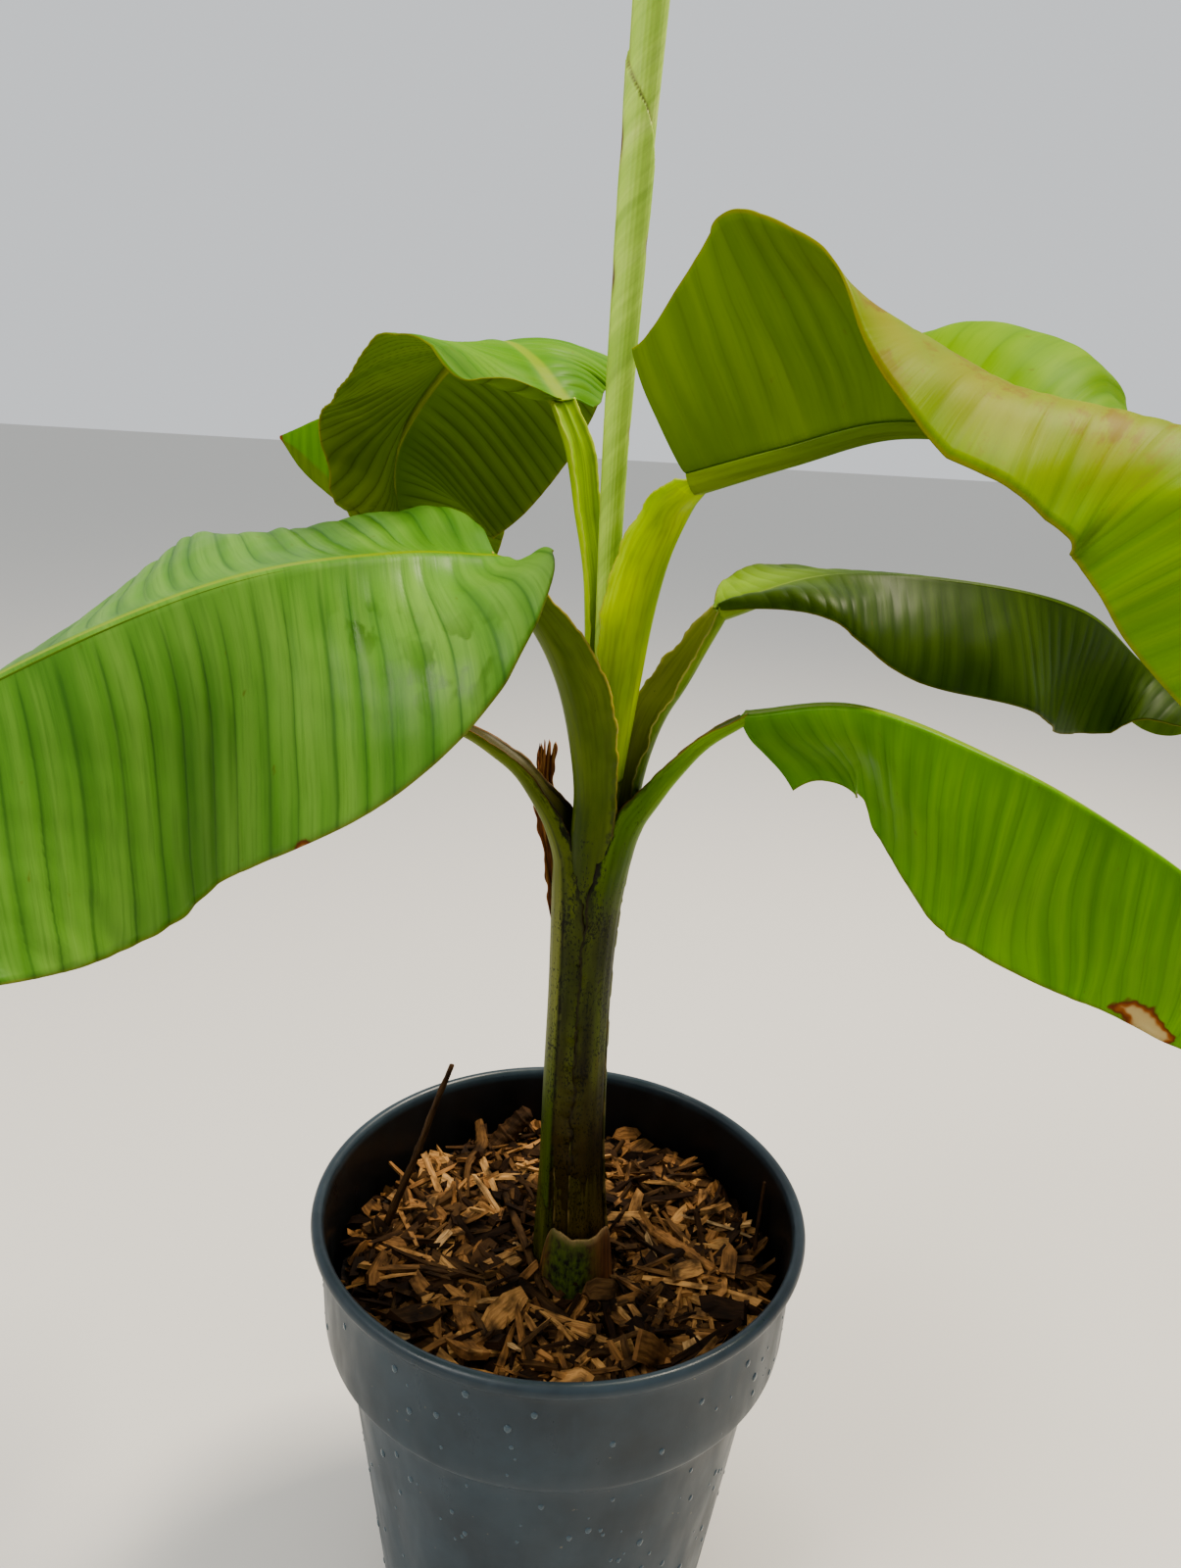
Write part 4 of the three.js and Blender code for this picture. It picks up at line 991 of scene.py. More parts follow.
def make_blade(name, leaf, settings, material, seed):
    """A leaf blade: a thin closed sheet over both halves with pleats, a shallow channel
    along its rib and a waving margin."""
    rows, columns = settings.rows, settings.columns
    x = np.linspace(0, 1, rows)
    t = 0.55 * x + 0.45 * 0.5 * (1 - np.cos(math.pi * x))
    s = np.linspace(0, 1, columns) ** 1.35
    end = leaf["stalk"][-1][3]
    rib_half = catmull([0.42 * end, 2.6, 1.5, 0.8], t)[:, None]
    left, left_width = blade_half(leaf, t, s, -1, rib_half)
    right, right_width = blade_half(leaf, t, s, 1, rib_half)
    middle = np.concatenate([left[:, ::-1], right[:, 1:]], axis=1)
    length = even_shares(leaf["rib"], t)[1]
    signed = np.concatenate([-s[::-1], s[1:]])[None, :]
    width = np.where(signed < 0, left_width[:, None], right_width[:, None])
    away = np.abs(signed) * width
    distance = (t * length)[:, None]
    normals = np.cross(np.gradient(middle, axis=1), np.gradient(middle, axis=0))
    normals /= np.linalg.norm(normals, axis=2, keepdims=True) + 1e-9
    # The veins leave the rib at their own lean, which may differ from the rows' sweep.
    course = distance + 0 * away
    for half, leans in leaf.get("fan", {}).items():
        excess = (catmull(leaf[half + "_sweep"], t) - catmull(leans, t))[:, None]
        course = course + np.where((signed < 0) == (half == "left"), excess * away, 0)
    fold, lift = pleat_height(course, away, width, leaf, seed)
    lift = lift - 0.1 * rib_half * np.exp(-((away / rib_half) ** 2))
    reach = np.abs(signed) + 0 * distance
    wave = ripple(distance / 95, seed + 7) * smooth(0.6, 1, reach) * smooth(8, 40, width)
    lift = lift + settings.margin_wave / MM * wave
    lift = lift + 0.7 * ripple(distance / 120, seed + 9, away / 90) * smooth(0.1, 0.5, reach)
    middle = middle + lift[..., None] * normals
    points, groups = sheet(middle, settings.thickness / MM, course, signed * width)
    scorch = np.zeros(middle.shape[:2])
    for place, out, long, wide in leaf.get("scorch", []):
        gap = np.hypot((distance - place * length) / long, (signed * width - out) / wide)
        scorch = np.maximum(scorch, 1 - gap * (0.6 + 0.2 * ripple(distance / 22, seed + 5,
                                                                  signed * width / 15)))
    values = {"reach": reach, "rib": (away / rib_half).clip(0, 9), "scorch": scorch,
              "fold": fold}
    # Spots of yellowing, of wet and of painted sunlight, each by where it lies and how far it
    # reaches.
    for key in ("fade", "painted_sunlight", "wet"):
        values[key] = np.zeros(middle.shape[:2])
        for place, out, long, wide in leaf.get(key, []):
            spot = np.exp(-(((distance - place * length) / long) ** 2)
                          - ((signed * width - out) / wide) ** 2)
            values[key] = np.maximum(values[key], spot)
    values = {key: np.tile(v.ravel(), 2) for key, v in values.items()}
    values["under"] = np.repeat([0.0, 1.0], reach.size)
    return make_piece(name, points, groups, material, values,
                      replaces=leaf["nodes"])


def make_curl(name, rows, leaf, settings, material):
    """The end of leaf 2, curled back: a sheet drawn smoothly through three edges, with its
    green upper side above the fold, its dull underside below it, and a dry tip."""
    t, s = np.linspace(0, 1, 60), np.linspace(0, 1, 41)
    length, width = 48, 34
    edges = np.stack([catmull(row, t) for row in rows])
    middle = np.moveaxis(catmull(edges, s), 0, 1)
    distance, out = (t * length)[:, None], (s * width)[None, :]
    pleats = 0.12 * np.sin(2 * math.pi * (distance / leaf["spacing"] + out / 60))
    pleats = pleats * smooth(0, 0.3, t)[:, None]
    middle = middle + pleats[..., None] * np.array([0, 1.0, 0])
    points, groups = sheet(middle, settings.thickness / MM, distance, out)
    full = 0 * distance + 0 * out
    values = {"under": smooth(0.46, 0.54, s)[None, :] + full,
              "reach": np.abs(2 * s - 1)[None, :] + full, "rib": full + 9, "fade": full,
              "painted_sunlight": full, "wet": full, "fold": full + 0.3,
              "scorch": (0.42 - distance / 14).clip(0) + full}
    values = {key: np.tile(v.ravel(), 2) for key, v in values.items()}
    return make_piece(name, points, groups, material, values)


def make_midrib(name, leaf, skin):
    """The midrib under a blade: a half-round limb that starts as wide as the stalk and thins
    to nothing at the tip, its flat side against the blade. It starts in the colours of the
    leaf's underside and within its first sixth turns to the colour of the rib from below."""
    end = leaf["stalk"][-1][3]
    stations = np.linspace(0, 1, len(leaf["rib"]))
    slim = leaf.get("midrib", 0.74)
    widths = catmull([end, slim * end, 0.74 * slim * end, 0.48 * slim * end, 1.2], stations)
    rolls = catmull(leaf["roll"], stations)
    rows = [[*point, width, 93, 0.93, roll]
            for point, width, roll in zip(leaf["rib"], widths, rolls)]
    points, groups, values = crescent(rows, leaf["heading"], 120, 0.0, 1, 0.0)
    along = np.append(np.repeat(np.linspace(0, 1, 120), (len(points) - 2) // 120), [0, 1])
    values["inner"] = smooth(0.0, 0.16, along)
    values["margin"] *= 0
    values["level"] = np.maximum(values["level"], 0.48)
    plain, light, dark = leaf["under"]
    material = sheath_skin(name + "_skin", plain, light, leaf.get("beneath", dark), skin[3],
                           0.0)
    return make_piece(name, points, groups, material, values)


def make_stalk(name, leaf, key, material):
    """A leaf stalk and its sheath: a crescent that clasps the stem low down and closes to a
    deep channel between two margins higher up."""
    points, groups, values = crescent(leaf["stalk"], leaf["heading"], 170,
                                      leaf.get("ragged", 0.045), 200 + int(key),
                                      panel=leaf.get("panel", 0.0))
    return make_piece(name, points, groups, material, values,
                      replaces=["petiole_" + key])


# Sheath edges on the stem: the turn at the foot and at the fork, in degrees, and the step
SHEATH_EDGES = [(-118, -128, 1.0), (-95, -91, 1.0), (-14, -24, 1.1), (62, 78, 1.2),
                (150, 138, 1.0)]


def make_stem(name, settings, material):
    """The pseudostem: oval rings whose radius falls by a step at each sheath's edge and
    climbs back before the next, with fine ribs along it and a closed, rounded shoulder."""
    rows, around = 220, 240
    t = np.linspace(0, 1, rows)
    stem = np.asarray(STEM, float)
    point, _, _, _, length = path_frames(stem[:, :3], t, 0)
    turn = 2 * math.pi * np.arange(around) / around - math.pi
    radius = catmull(stem[:, 3], even_shares(stem[:, :3], t)[0]) / 2
    step = settings.step / MM
    extra, seam, rim, panel = np.zeros((4, rows, around))
    for number, (foot, fork, size) in enumerate(SHEATH_EDGES):
        edge = np.radians(foot + (fork - foot) * t + 4.5 * ripple(t * 1.3, 40 + number))
        gap = (turn[None, :] - edge[:, None]) % (2 * math.pi)
        extra += step * size * np.exp(-gap / 0.55)
        seam = np.maximum(seam, np.exp(-(((2 * math.pi - gap) / 0.05) ** 2)))
        patchy = smooth(-0.3, 0.6, ripple(t * 9, 50 + number))[:, None]
        rim = np.maximum(rim, 0.75 * patchy * np.exp(-(((gap - 0.02) / 0.03) ** 2)))
        panel = np.maximum(panel, size * 0.6 * np.exp(-gap / 0.8))
    green_side = smooth(-1.98, -2.2, turn)[None, :] + smooth(0.1, 0.5, turn)[None, :]
    panel = np.maximum(panel * 0.3, green_side)
    ribs = (0.08 * np.sin(turn * 46)[None, :]
            + 0.25 * ripple(turn[None, :] * 1.3, 5, 3 * t[:, None]))
    shoulder = np.sqrt(np.clip(1 - (np.clip(t - 0.88, 0, 1) / 0.125) ** 2, 0.0, 1))
    reach = (radius[:, None] - 0.6 + extra + ribs) * shoulder[:, None]
    # A turn of 0 faces +X, and the front is at -90 degrees.
    rings = carried(point, np.array([[1.0, 0, 0]]), np.array([[0, 1.0, 0]]),
                    reach * np.cos(turn), STEM_FLATNESS * reach * np.sin(turn))
    across = np.linspace(0, 2 * math.pi * radius.mean(), around + 1)
    points, groups = ringed(rings, None, across, t * length)
    values = {"height": t[:, None] + 0 * seam, "panel": panel, "seam": seam, "rim": rim}
    values = {key: np.concatenate([v.ravel(), [0, 0]]) for key, v in values.items()}
    return make_piece(name, points, groups, material, values,
                      replaces=["pseudostem"])


def make_rolled_leaf(name, material):
    """The rolled leaf: each ring is a spiral whose radius shrinks round its turn, so that a
    step winds up the spear where the blade's edge lies on itself."""
    rows, around = 420, 96
    t = np.linspace(0, 1, rows)
    point, _, side, normal, length = path_frames(ROLLED_LEAF["path"], t, 0)
    turn = 2 * math.pi * np.arange(around) / around - math.pi
    radius = catmull(ROLLED_LEAF["widths"], t) / 2
    # Seen from the front, the edge keeps to the right, and winds once round the middle.
    edge = -1.35 + 2 * math.pi * smooth(0.42, 0.6, t) + 0.12 * ripple(t * 6, 21)
    gap = (turn[None, :] - edge[:, None]) % (2 * math.pi)
    second = (turn[None, :] - 1.35 - 0.15 * ripple(t * 5, 22)[:, None]) % (2 * math.pi)
    reach = radius[:, None] * (1.04 - 0.17 * gap / (2 * math.pi) + 0.05 * np.exp(-second / 0.4))
    reach = reach + 0.06 * np.sin(turn * 23 + 30 * t[:, None])
    # Painted shadow: the seam darkens the skin beside each step, where the edge lies on itself.
    seam = np.exp(-(((2 * math.pi - gap) / 0.16) ** 2))
    seam = np.maximum(seam, 0.4 * np.exp(-(((2 * math.pi - second) / 0.13) ** 2)))
    nick = np.zeros((rows, around))
    for place, size, side_gap in ((0.343, 0.012, second), (0.446, 0.014, second),
                                  (0.37, 0.008, gap), (0.22, 0.006, gap), (0.62, 0.01, gap)):
        side_gap = (side_gap + math.pi) % (2 * math.pi) - math.pi
        nick = np.maximum(nick, np.exp(-(((t - place) / size) ** 2))[:, None]
                          * np.exp(-((side_gap / 0.3) ** 2)))
    reach = reach * (1 - 0.06 * nick)
    rings = carried(point, side, normal, reach * np.cos(turn), reach * np.sin(turn))
    across = np.linspace(0, 2 * math.pi * radius.mean(), around + 1)
    poles = (point[0], point[-1] + np.array([0, 0, 1.5]))
    points, groups = ringed(rings, poles, across, t * length)
    # The veins wind: the map leans, so that along and across share the fibres' direction.
    groups = [(f, np.stack([uv[..., 0] + 0.9 * uv[..., 1], uv[..., 1]], -1))
              for f, uv in groups]
    values = {"seam": np.concatenate([seam.ravel(), [0, 0]]),
              "nick": np.concatenate([nick.ravel(), [0, 0]])}
    return make_piece(name, points, groups, material, values,
                      replaces=["rolled_leaf"])


def make_cut_base(name, material):
    """The stump of an old leaf round the foot of the stem: a shell that bulges outwards,
    with a torn rim. The rows run up its outside, over the rim and down its inside."""
    around, level = 120, 190
    turn = 2 * math.pi * np.arange(around) / around
    front = np.cos(turn + math.pi / 2 - 0.15)
    top = (204 + 31 * smooth(0.05, 0.72, front) - 3.5 * smooth(0.8, 1, front)
           + 0.7 * ripple(turn / 1.1, 8) + 0.25 * ripple(turn * 1.4, 9))
    top = np.maximum(top, 196)
    outer = 17.6 + 1.6 * np.clip(front, 0, 1) + 0.25 * ripple(turn * 1.2, 10)
    # Rows: the share of the height, the factor on the radius, how much of the tan rim shows
    # and how far along the map
    rows = np.array([[0, 1.16, 0, 0], [0.25, 1.14, 0, 8], [0.5, 1.09, 0, 16],
                     [0.75, 1.03, 0, 24], [0.92, 1.0, 0.1, 29], [1.0, 0.98, 0.8, 31],
                     [1.02, 0.94, 1, 33], [1.0, 0.90, 1, 35], [0.92, 0.88, 0.6, 38],
                     [0.5, 0.86, 0.2, 50], [0, 0.86, 0, 66]])
    share, out, rim, along = rows.T[:, :, None]
    reach = outer * out
    rings = np.stack([8.5 + reach * np.cos(turn), -6 + 0.95 * reach * np.sin(turn),
                      level + (top - level) * share], -1)
    across = np.linspace(0, 110, around + 1)
    faces, r, c = lattice(len(rows), around, wrap=True)
    last = (len(rows) - 1) * around
    k = np.arange(around)
    floor = np.stack([(k + 1) % around, k, k + last, (k + 1) % around + last], -1)
    uv = np.stack([across[c], along[r, 0]], -1)
    floor_uv = np.zeros((around, 4, 2))
    brown = np.tile(smooth(0.35, 0.9, np.cos(turn + 0.2)) + smooth(0.2, 0.9, np.cos(turn - 2.9)),
                    len(rows)).clip(0, 1)
    values = {"rim": (rim * (0.65 + 0.35 * ripple(turn, 11))).clip(0, 1), "brown": brown}
    return make_piece(name, rings, [(faces, uv), (floor, floor_uv)], material,
                      values, replaces=["cut_leaf_base"])


def make_strip(name, path, widths, curl, thickness, material, ragged, heading,
               replaces, seed):
    """A thin dry strip: a sheet carried along a path, curled across its width, its edges and
    its end torn by a wandering line."""
    rows, columns = 90, 17
    t = np.linspace(0, 1, rows)
    point, _, side, normal, length = path_frames(path, t, heading)
    half = catmull(widths, t)[:, None] / 2
    s = np.linspace(-1, 1, columns)[None, :]
    torn = 1 + ragged * ripple(t[:, None] * 3.1, seed, np.sign(s) * 0.3)
    across = half * s * torn
    bow = curl * half * (s**2) + 3 * ragged * ripple(t[:, None] * 2, seed + 1, s * 0.8)
    middle = carried(point, side, normal, across, bow)
    middle[..., 2] += 5.5 * smooth(0.75, 1, t)[:, None] * ripple(s * 1.6, seed + 2)
    points, groups = sheet(middle, thickness, across, (t * length)[:, None])
    return make_piece(name, points, groups, material, replaces=replaces)


def twig_shape(seed):
    """Factor on a twig's radius: knots, a little lean and rough bark."""
    def shape(turn, share):
        knots = 0.18 * np.exp(-(((share * 3 + 0.4 * np.sin(seed)) % 1 - 0.5) / 0.06) ** 2)
        return 1 + knots + 0.15 * ripple(turn / 2, seed, share * 9) + 0.06 * np.sin(turn * 5)
    return shape


def make_twigs(name, twigs, material, tones, replaces=()):
    """Several twigs in one piece, each a knotty limb."""
    points, groups, tone, first = [], [], [], 0
    for number, (path, widths, flatness) in enumerate(twigs):
        skin, parts = limb(path, widths, 30 * number, flatness, 12, 60,
                           twig_shape(60 + number))
        points.append(skin)
        groups += [(faces + first, uv) for faces, uv in parts]
        tone.append(np.full(len(skin), tones[number % len(tones)]))
        first += len(skin)
    return make_piece(name, np.concatenate(points), groups, material,
                      {"tone": np.concatenate(tone)}, replaces=replaces)


def repeated(faces, count, size):
    """Faces of one shape of size points, for count copies of it one after the other."""
    start = (np.arange(count) * size)[:, None, None]
    return (np.asarray(faces)[None] + start).reshape(-1, np.shape(faces)[-1])


def make_flakes(name, dice, place, size, yaw, tone, material):
    """Flat flakes of wood in one piece. Each is four four-cornered rings along its length,
    split off at an angle and splintered at both ends, a little bent, turned and tilted."""
    count = len(place)
    jitter = dice.uniform(-1, 1, (4, count, 4, 4))
    along = np.array([-1, -0.5, 0.45, 1.0])[None, :, None]
    blunt = dice.uniform(0.5, 1.0, (count, 4, 1)) * [[[1], [0], [0], [1]]]
    blunt = blunt + [[[0], [1], [1], [0]]]
    length, width, thick = (size[:, k, None, None] / 2 for k in range(3))
    slant = dice.uniform(-0.5, 0.5, (count, 1, 1)) * np.array([-1, 1, 1, -1])
    x = length * (along + 0.14 * jitter[0]) + width * slant
    y = width * (blunt * np.array([-1, 1, 1, -1]) + 0.16 * jitter[1])
    z = thick * ((0.45 + 0.55 * blunt) * np.array([-1, -1, 1, 1]) + 0.3 * jitter[2])
    z = z + dice.uniform(-1, 1, (count, 1, 1)) * 0.004 * x**2
    local = np.stack([x, y, z], -1).reshape(count, 16, 3)
    pitch, roll = dice.normal(0, 0.28, count), dice.normal(0, 0.55, count)
    cy, sy, cp, sp, cr, sr = (np.cos(yaw), np.sin(yaw), np.cos(pitch), np.sin(pitch),
                              np.cos(roll), np.sin(roll))
    turned_by = np.stack([
        np.stack([cy * cp, cy * sp * sr - sy * cr, cy * sp * cr + sy * sr], -1),
        np.stack([sy * cp, sy * sp * sr + cy * cr, sy * sp * cr - cy * sr], -1),
        np.stack([-sp, cp * sr, cp * cr], -1)], 1)
    world = np.einsum("nij,nkj->nki", turned_by, local) + place[:, None]
    world = keep_in_pot(world, CHIP_RADIUS, STEM_CLEARANCE)
    faces, r, c = lattice(4, 4, wrap=True)
    run = size[:, :1, None] * np.array([0, 0.25, 0.72, 1.0])[r][None]
    around = size[:, 1:2, None] * c[None] / 2 + 17.0 * (np.arange(count) % 41)[:, None, None]
    sides = repeated(faces, count, 16)
    ends = repeated([[3, 2, 1, 0], [12, 13, 14, 15]], count, 16)
    groups = [(sides, np.stack([around, run], -1).reshape(-1, 4, 2)),
              (ends, np.zeros((len(ends), 4, 2)))]
    return make_piece(name, world, groups, material,
                      {"tone": np.repeat(tone, 16).clip(0, 1)}, round_off=False)


def scatter_flakes(dice, count, lengths, widths, thicknesses, tones, spread, lift):
    """Random places, sizes, turns and tones of flakes laid over the fill."""
    away = spread * np.sqrt(dice.uniform(0.03, 1, count))
    angle = dice.uniform(0, 2 * math.pi, count)
    x, y = away * np.cos(angle), away * np.sin(angle)
    place = np.stack([x, y, compost_height(x, y) + dice.uniform(*lift, count)], -1)
    size = np.stack([dice.uniform(*lengths, count), dice.uniform(*widths, count),
                     dice.uniform(*thicknesses, count)], -1)
    tone = dice.choice(tones, count) + dice.normal(0, 0.06, count)
    return place, size, dice.uniform(0, 2 * math.pi, count), tone


def keep_in_pot(points, wall, foot):
    """Pulls points back inside the pot's wall and out of the stem's foot."""
    away = np.hypot(points[..., 0], points[..., 1])
    pull = np.minimum(1, wall / np.maximum(away, 1e-6))
    points[..., 0] *= pull
    points[..., 1] *= pull
    gap = np.hypot(points[..., 0] - STEM_FOOT[0], points[..., 1] - STEM_FOOT[1])
    push = np.maximum(foot / np.maximum(gap, 1e-6), 1)
    points[..., 0] = STEM_FOOT[0] + (points[..., 0] - STEM_FOOT[0]) * push
    points[..., 1] = STEM_FOOT[1] + (points[..., 1] - STEM_FOOT[1]) * push
    return points


def drop_beads(dice, count, pot):
    """Water beads on the pot's outside: low domes, longer downwards, square to the wall."""
    columns = 10
    turn = 2 * math.pi * np.arange(columns) / columns
    tilt = np.array([0.0, 0.5, 1.0, 1.35])
    size = dice.uniform(0.35, 1.0, count) ** 2 * 1.5 + 0.35
    z = dice.uniform(14, 226, count)
    angle = dice.uniform(0, 2 * math.pi, count)
    step_foot, step_head = step_levels(pot)
    wall = np.where(z < step_foot, body_radius(z, pot), collar_radius(z, pot))
    keep = (z < step_foot - 4) | (z > step_head + 2)
    size, z, angle, wall = size[keep], z[keep], angle[keep], wall[keep]
    flat = np.cos(tilt)[None, :, None] * size[:, None, None]
    out = np.sin(tilt)[None, :, None] * size[:, None, None] * 0.45
    x = flat * np.cos(turn)
    y = flat * np.sin(turn) * np.where(np.sin(turn) < 0, 1.5, 1.0)
    outward = np.stack([np.cos(angle), np.sin(angle), 0 * angle], -1)[:, None, None]
    sideways = np.stack([-np.sin(angle), np.cos(angle), 0 * angle], -1)[:, None, None]
    upward = np.array([0, 0, 1.0])
    centre = np.stack([wall * np.cos(angle), wall * np.sin(angle), z], -1)[:, None, None]
    rings = centre + x[..., None] * sideways + y[..., None] * upward + (
        out[..., None] - 0.15) * outward
    return rings.reshape(len(size), -1, 3), len(tilt), columns


# Settings

class PotSettings(bpy.types.PropertyGroup):
    """Sizes and colour of the pot."""
    height: bpy.props.FloatProperty(name="Height", unit="LENGTH", default=0.240,
                                    description="Height from the floor to the lip")
    foot_radius: bpy.props.FloatProperty(name="Foot radius", unit="LENGTH", default=0.0825,
                                         description="Outer radius at the foot")
    wall: bpy.props.FloatProperty(name="Wall", unit="LENGTH", default=0.003,
                                  description="Thickness of the moulded wall")
    collar_depth: bpy.props.FloatProperty(name="Collar depth", unit="LENGTH", default=0.057,
                                          description="Depth of the straight collar")
    colour: bpy.props.FloatVectorProperty(name="Colour", subtype="COLOR",
                                          default=linear("#2a373f")[:3],
                                          description="Colour of the plastic")
    beads: bpy.props.IntProperty(name="Water beads", default=420,
                                 description="Number of water beads on the outside")


class MulchSettings(bpy.types.PropertyGroup):
    """Amounts and colours of the wood-chip mulch."""
    chips: bpy.props.IntProperty(name="Chips", default=950, description="Number of chips")
    crumbs: bpy.props.IntProperty(name="Crumbs", default=1700,
                                  description="Number of small crumbs between the chips")
    slivers: bpy.props.IntProperty(name="Slivers", default=380,
                                   description="Number of long slivers")
    dark_wood: bpy.props.FloatVectorProperty(name="Dark wood", subtype="COLOR",
                                             default=linear("#3a2615")[:3],
                                             description="Colour of bark and damp chips")
    pale_wood: bpy.props.FloatVectorProperty(name="Pale wood", subtype="COLOR",
                                             default=linear("#a3774a")[:3],
                                             description="Colour of fresh chips")


class StemSettings(bpy.types.PropertyGroup):
    """Relief and colours of the stem and the stalks."""
    step: bpy.props.FloatProperty(name="Sheath step", unit="LENGTH", default=0.0011,
                                  description="How far each sheath's edge stands proud")
    green: bpy.props.FloatVectorProperty(name="Green", subtype="COLOR",
                                         default=linear("#464a14")[:3],
                                         description="Colour of the living sheaths")
    brown: bpy.props.FloatVectorProperty(name="Brown", subtype="COLOR",
                                         default=linear("#4a3a18")[:3],
                                         description="Colour of the dried sheaths")
    shade: bpy.props.FloatVectorProperty(name="Shade", subtype="COLOR",
                                         default=linear("#22240b")[:3],
                                         description="Darker green in the mottling")


class BladeSettings(bpy.types.PropertyGroup):
    """Thickness, waviness and fineness of the leaf blades."""
    thickness: bpy.props.FloatProperty(name="Thickness", unit="LENGTH", default=0.0007,
                                       description="Thickness of the tissue")
    margin_wave: bpy.props.FloatProperty(name="Margin wave", unit="LENGTH", default=0.0022,
                                         description="How far the margin waves up and down")
    rows: bpy.props.IntProperty(name="Rows", default=400,
                                description="Rows of the mesh along the rib")
    columns: bpy.props.IntProperty(name="Columns", default=34,
                                   description="Columns of the mesh from rib to margin")


class StageSettings(bpy.types.PropertyGroup):
    """Floor, lights and camera."""
    floor_colour: bpy.props.FloatVectorProperty(name="Floor", subtype="COLOR",
                                                default=linear("#cfcdc8")[:3],
                                                description="Colour of the floor")
    key: bpy.props.FloatProperty(name="Key light", unit="POWER", default=60.0,
                                 description="Power of the main soft light, in watts")
    fill: bpy.props.FloatProperty(name="Fill light", unit="POWER", default=28.0,
                                  description="Power of the light in front, in watts")
    lens: bpy.props.FloatProperty(name="Lens", default=26.03, subtype="DISTANCE_CAMERA",
                                  description="Focal length on a 36 mm wide sensor")


# Operators

class PLANT_OT_mould_pot(bpy.types.Operator):
    """Mould the pot with its collar, lip and water beads"""
    bl_idname = "plant.mould_pot"
    bl_label = "Mould Pot"

    def execute(self, context):
        pot = context.scene.plant_pot
        outside, inside = pot_profile(pot)
        profile = np.concatenate([outside, inside])
        points, groups = turned(profile, 180, 2.0, 4.0)
        within = np.repeat(np.arange(len(profile)) >= len(outside), 180).astype(float)
        make_piece("pot_shell", points, groups, moulded_plastic("moulded_plastic", pot),
                   {"inside": np.concatenate([within, [0, 1]])},
                   replaces=["pot"])
        beads, rings, columns = drop_beads(np.random.default_rng(5), pot.beads, pot)
        faces, _, _ = lattice(rings, columns, wrap=True)
        k = np.arange(columns)
        caps = np.stack([k[::-1], k + (rings - 1) * columns])
        groups = [(repeated(shape, len(beads), rings * columns), None)
                  for shape in (faces, caps)]
        make_piece("pot_water_beads", beads, groups, water_film("water_film"))
        return {"FINISHED"}


class PLANT_OT_fill_pot(bpy.types.Operator):
    """Fill the pot with compost and a mulch of wood chips and twigs"""
    bl_idname = "plant.fill_pot"
    bl_label = "Fill Pot"

    def execute(self, context):
        pot, mulch = context.scene.plant_pot, context.scene.plant_mulch
        top = [[r, FILL_LEVEL] for r in np.linspace(FILL_RADIUS, 1.5, 54)]
        wall = [[body_radius(z, pot) - FILL_INSET, z] for z in (FILL_FOOT, 60, 120, 174)]
        profile = np.array(wall + [[FILL_RADIUS, 186]] + top)
        points, groups = turned(profile, 144, FILL_FOOT, FILL_LEVEL)
        high = points[:, 2] > FILL_LEVEL - 1
        x, y = points[high, 0], points[high, 1]
        points[high, 2] = compost_height(x, y) - 1 + 1.6 * ripple(x / 23, 31, y / 19)
        make_piece("compost", points, groups, moist_compost("moist_compost"),
                   replaces=["mulch_fill"])
        dice = np.random.default_rng(12)
        wood = split_wood("split_wood", mulch)
        batches = {
            "mulch_crumbs": (mulch.crumbs, (3, 9), (1.5, 4), (1, 2.2),
                             [0.1, 0.25, 0.35, 0.5, 0.65], 105, (-1, 2.0)),
            "mulch_chips": (mulch.chips, (9, 24), (4, 10), (1.2, 3.4),
                            [0.1, 0.2, 0.3, 0.45, 0.55, 0.65, 0.72, 0.85], 103, (0.5, 5.0)),
            "mulch_slivers": (mulch.slivers, (18, 42), (1.4, 4.2), (1.0, 2.2),
                              [0.2, 0.35, 0.5, 0.68, 0.8], 97, (1.5, 7.5)),
        }
        for name, batch in batches.items():
            place, size, yaw, tone = scatter_flakes(dice, *batch)
            make_flakes(name, dice, place, size, yaw, tone, wood)
        large = np.array(LARGE_CHIPS, float)
        size = np.column_stack([large[:, 3:5], 0.16 * large[:, 4] + 1.6])
        make_flakes("mulch_large_chips", dice, large[:, :3], size, np.radians(large[:, 5]),
                    large[:, 6], wood)
        twig_wood = split_wood("twig_bark", mulch)
        for name, twig in TWIGS.items():
            make_twigs(name + "_skin", [(twig["path"], twig["widths"], twig["flatness"])],
                       twig_wood, [0.3 if name == "bark_stick" else 0.36],
                       replaces=[name])
        make_twigs("mulch_twigs", LOOSE_TWIGS, twig_wood,
                   [0.34, 0.5, 0.45, 0.3, 0.7, 0.62, 0.3, 0.66])
        return {"FINISHED"}


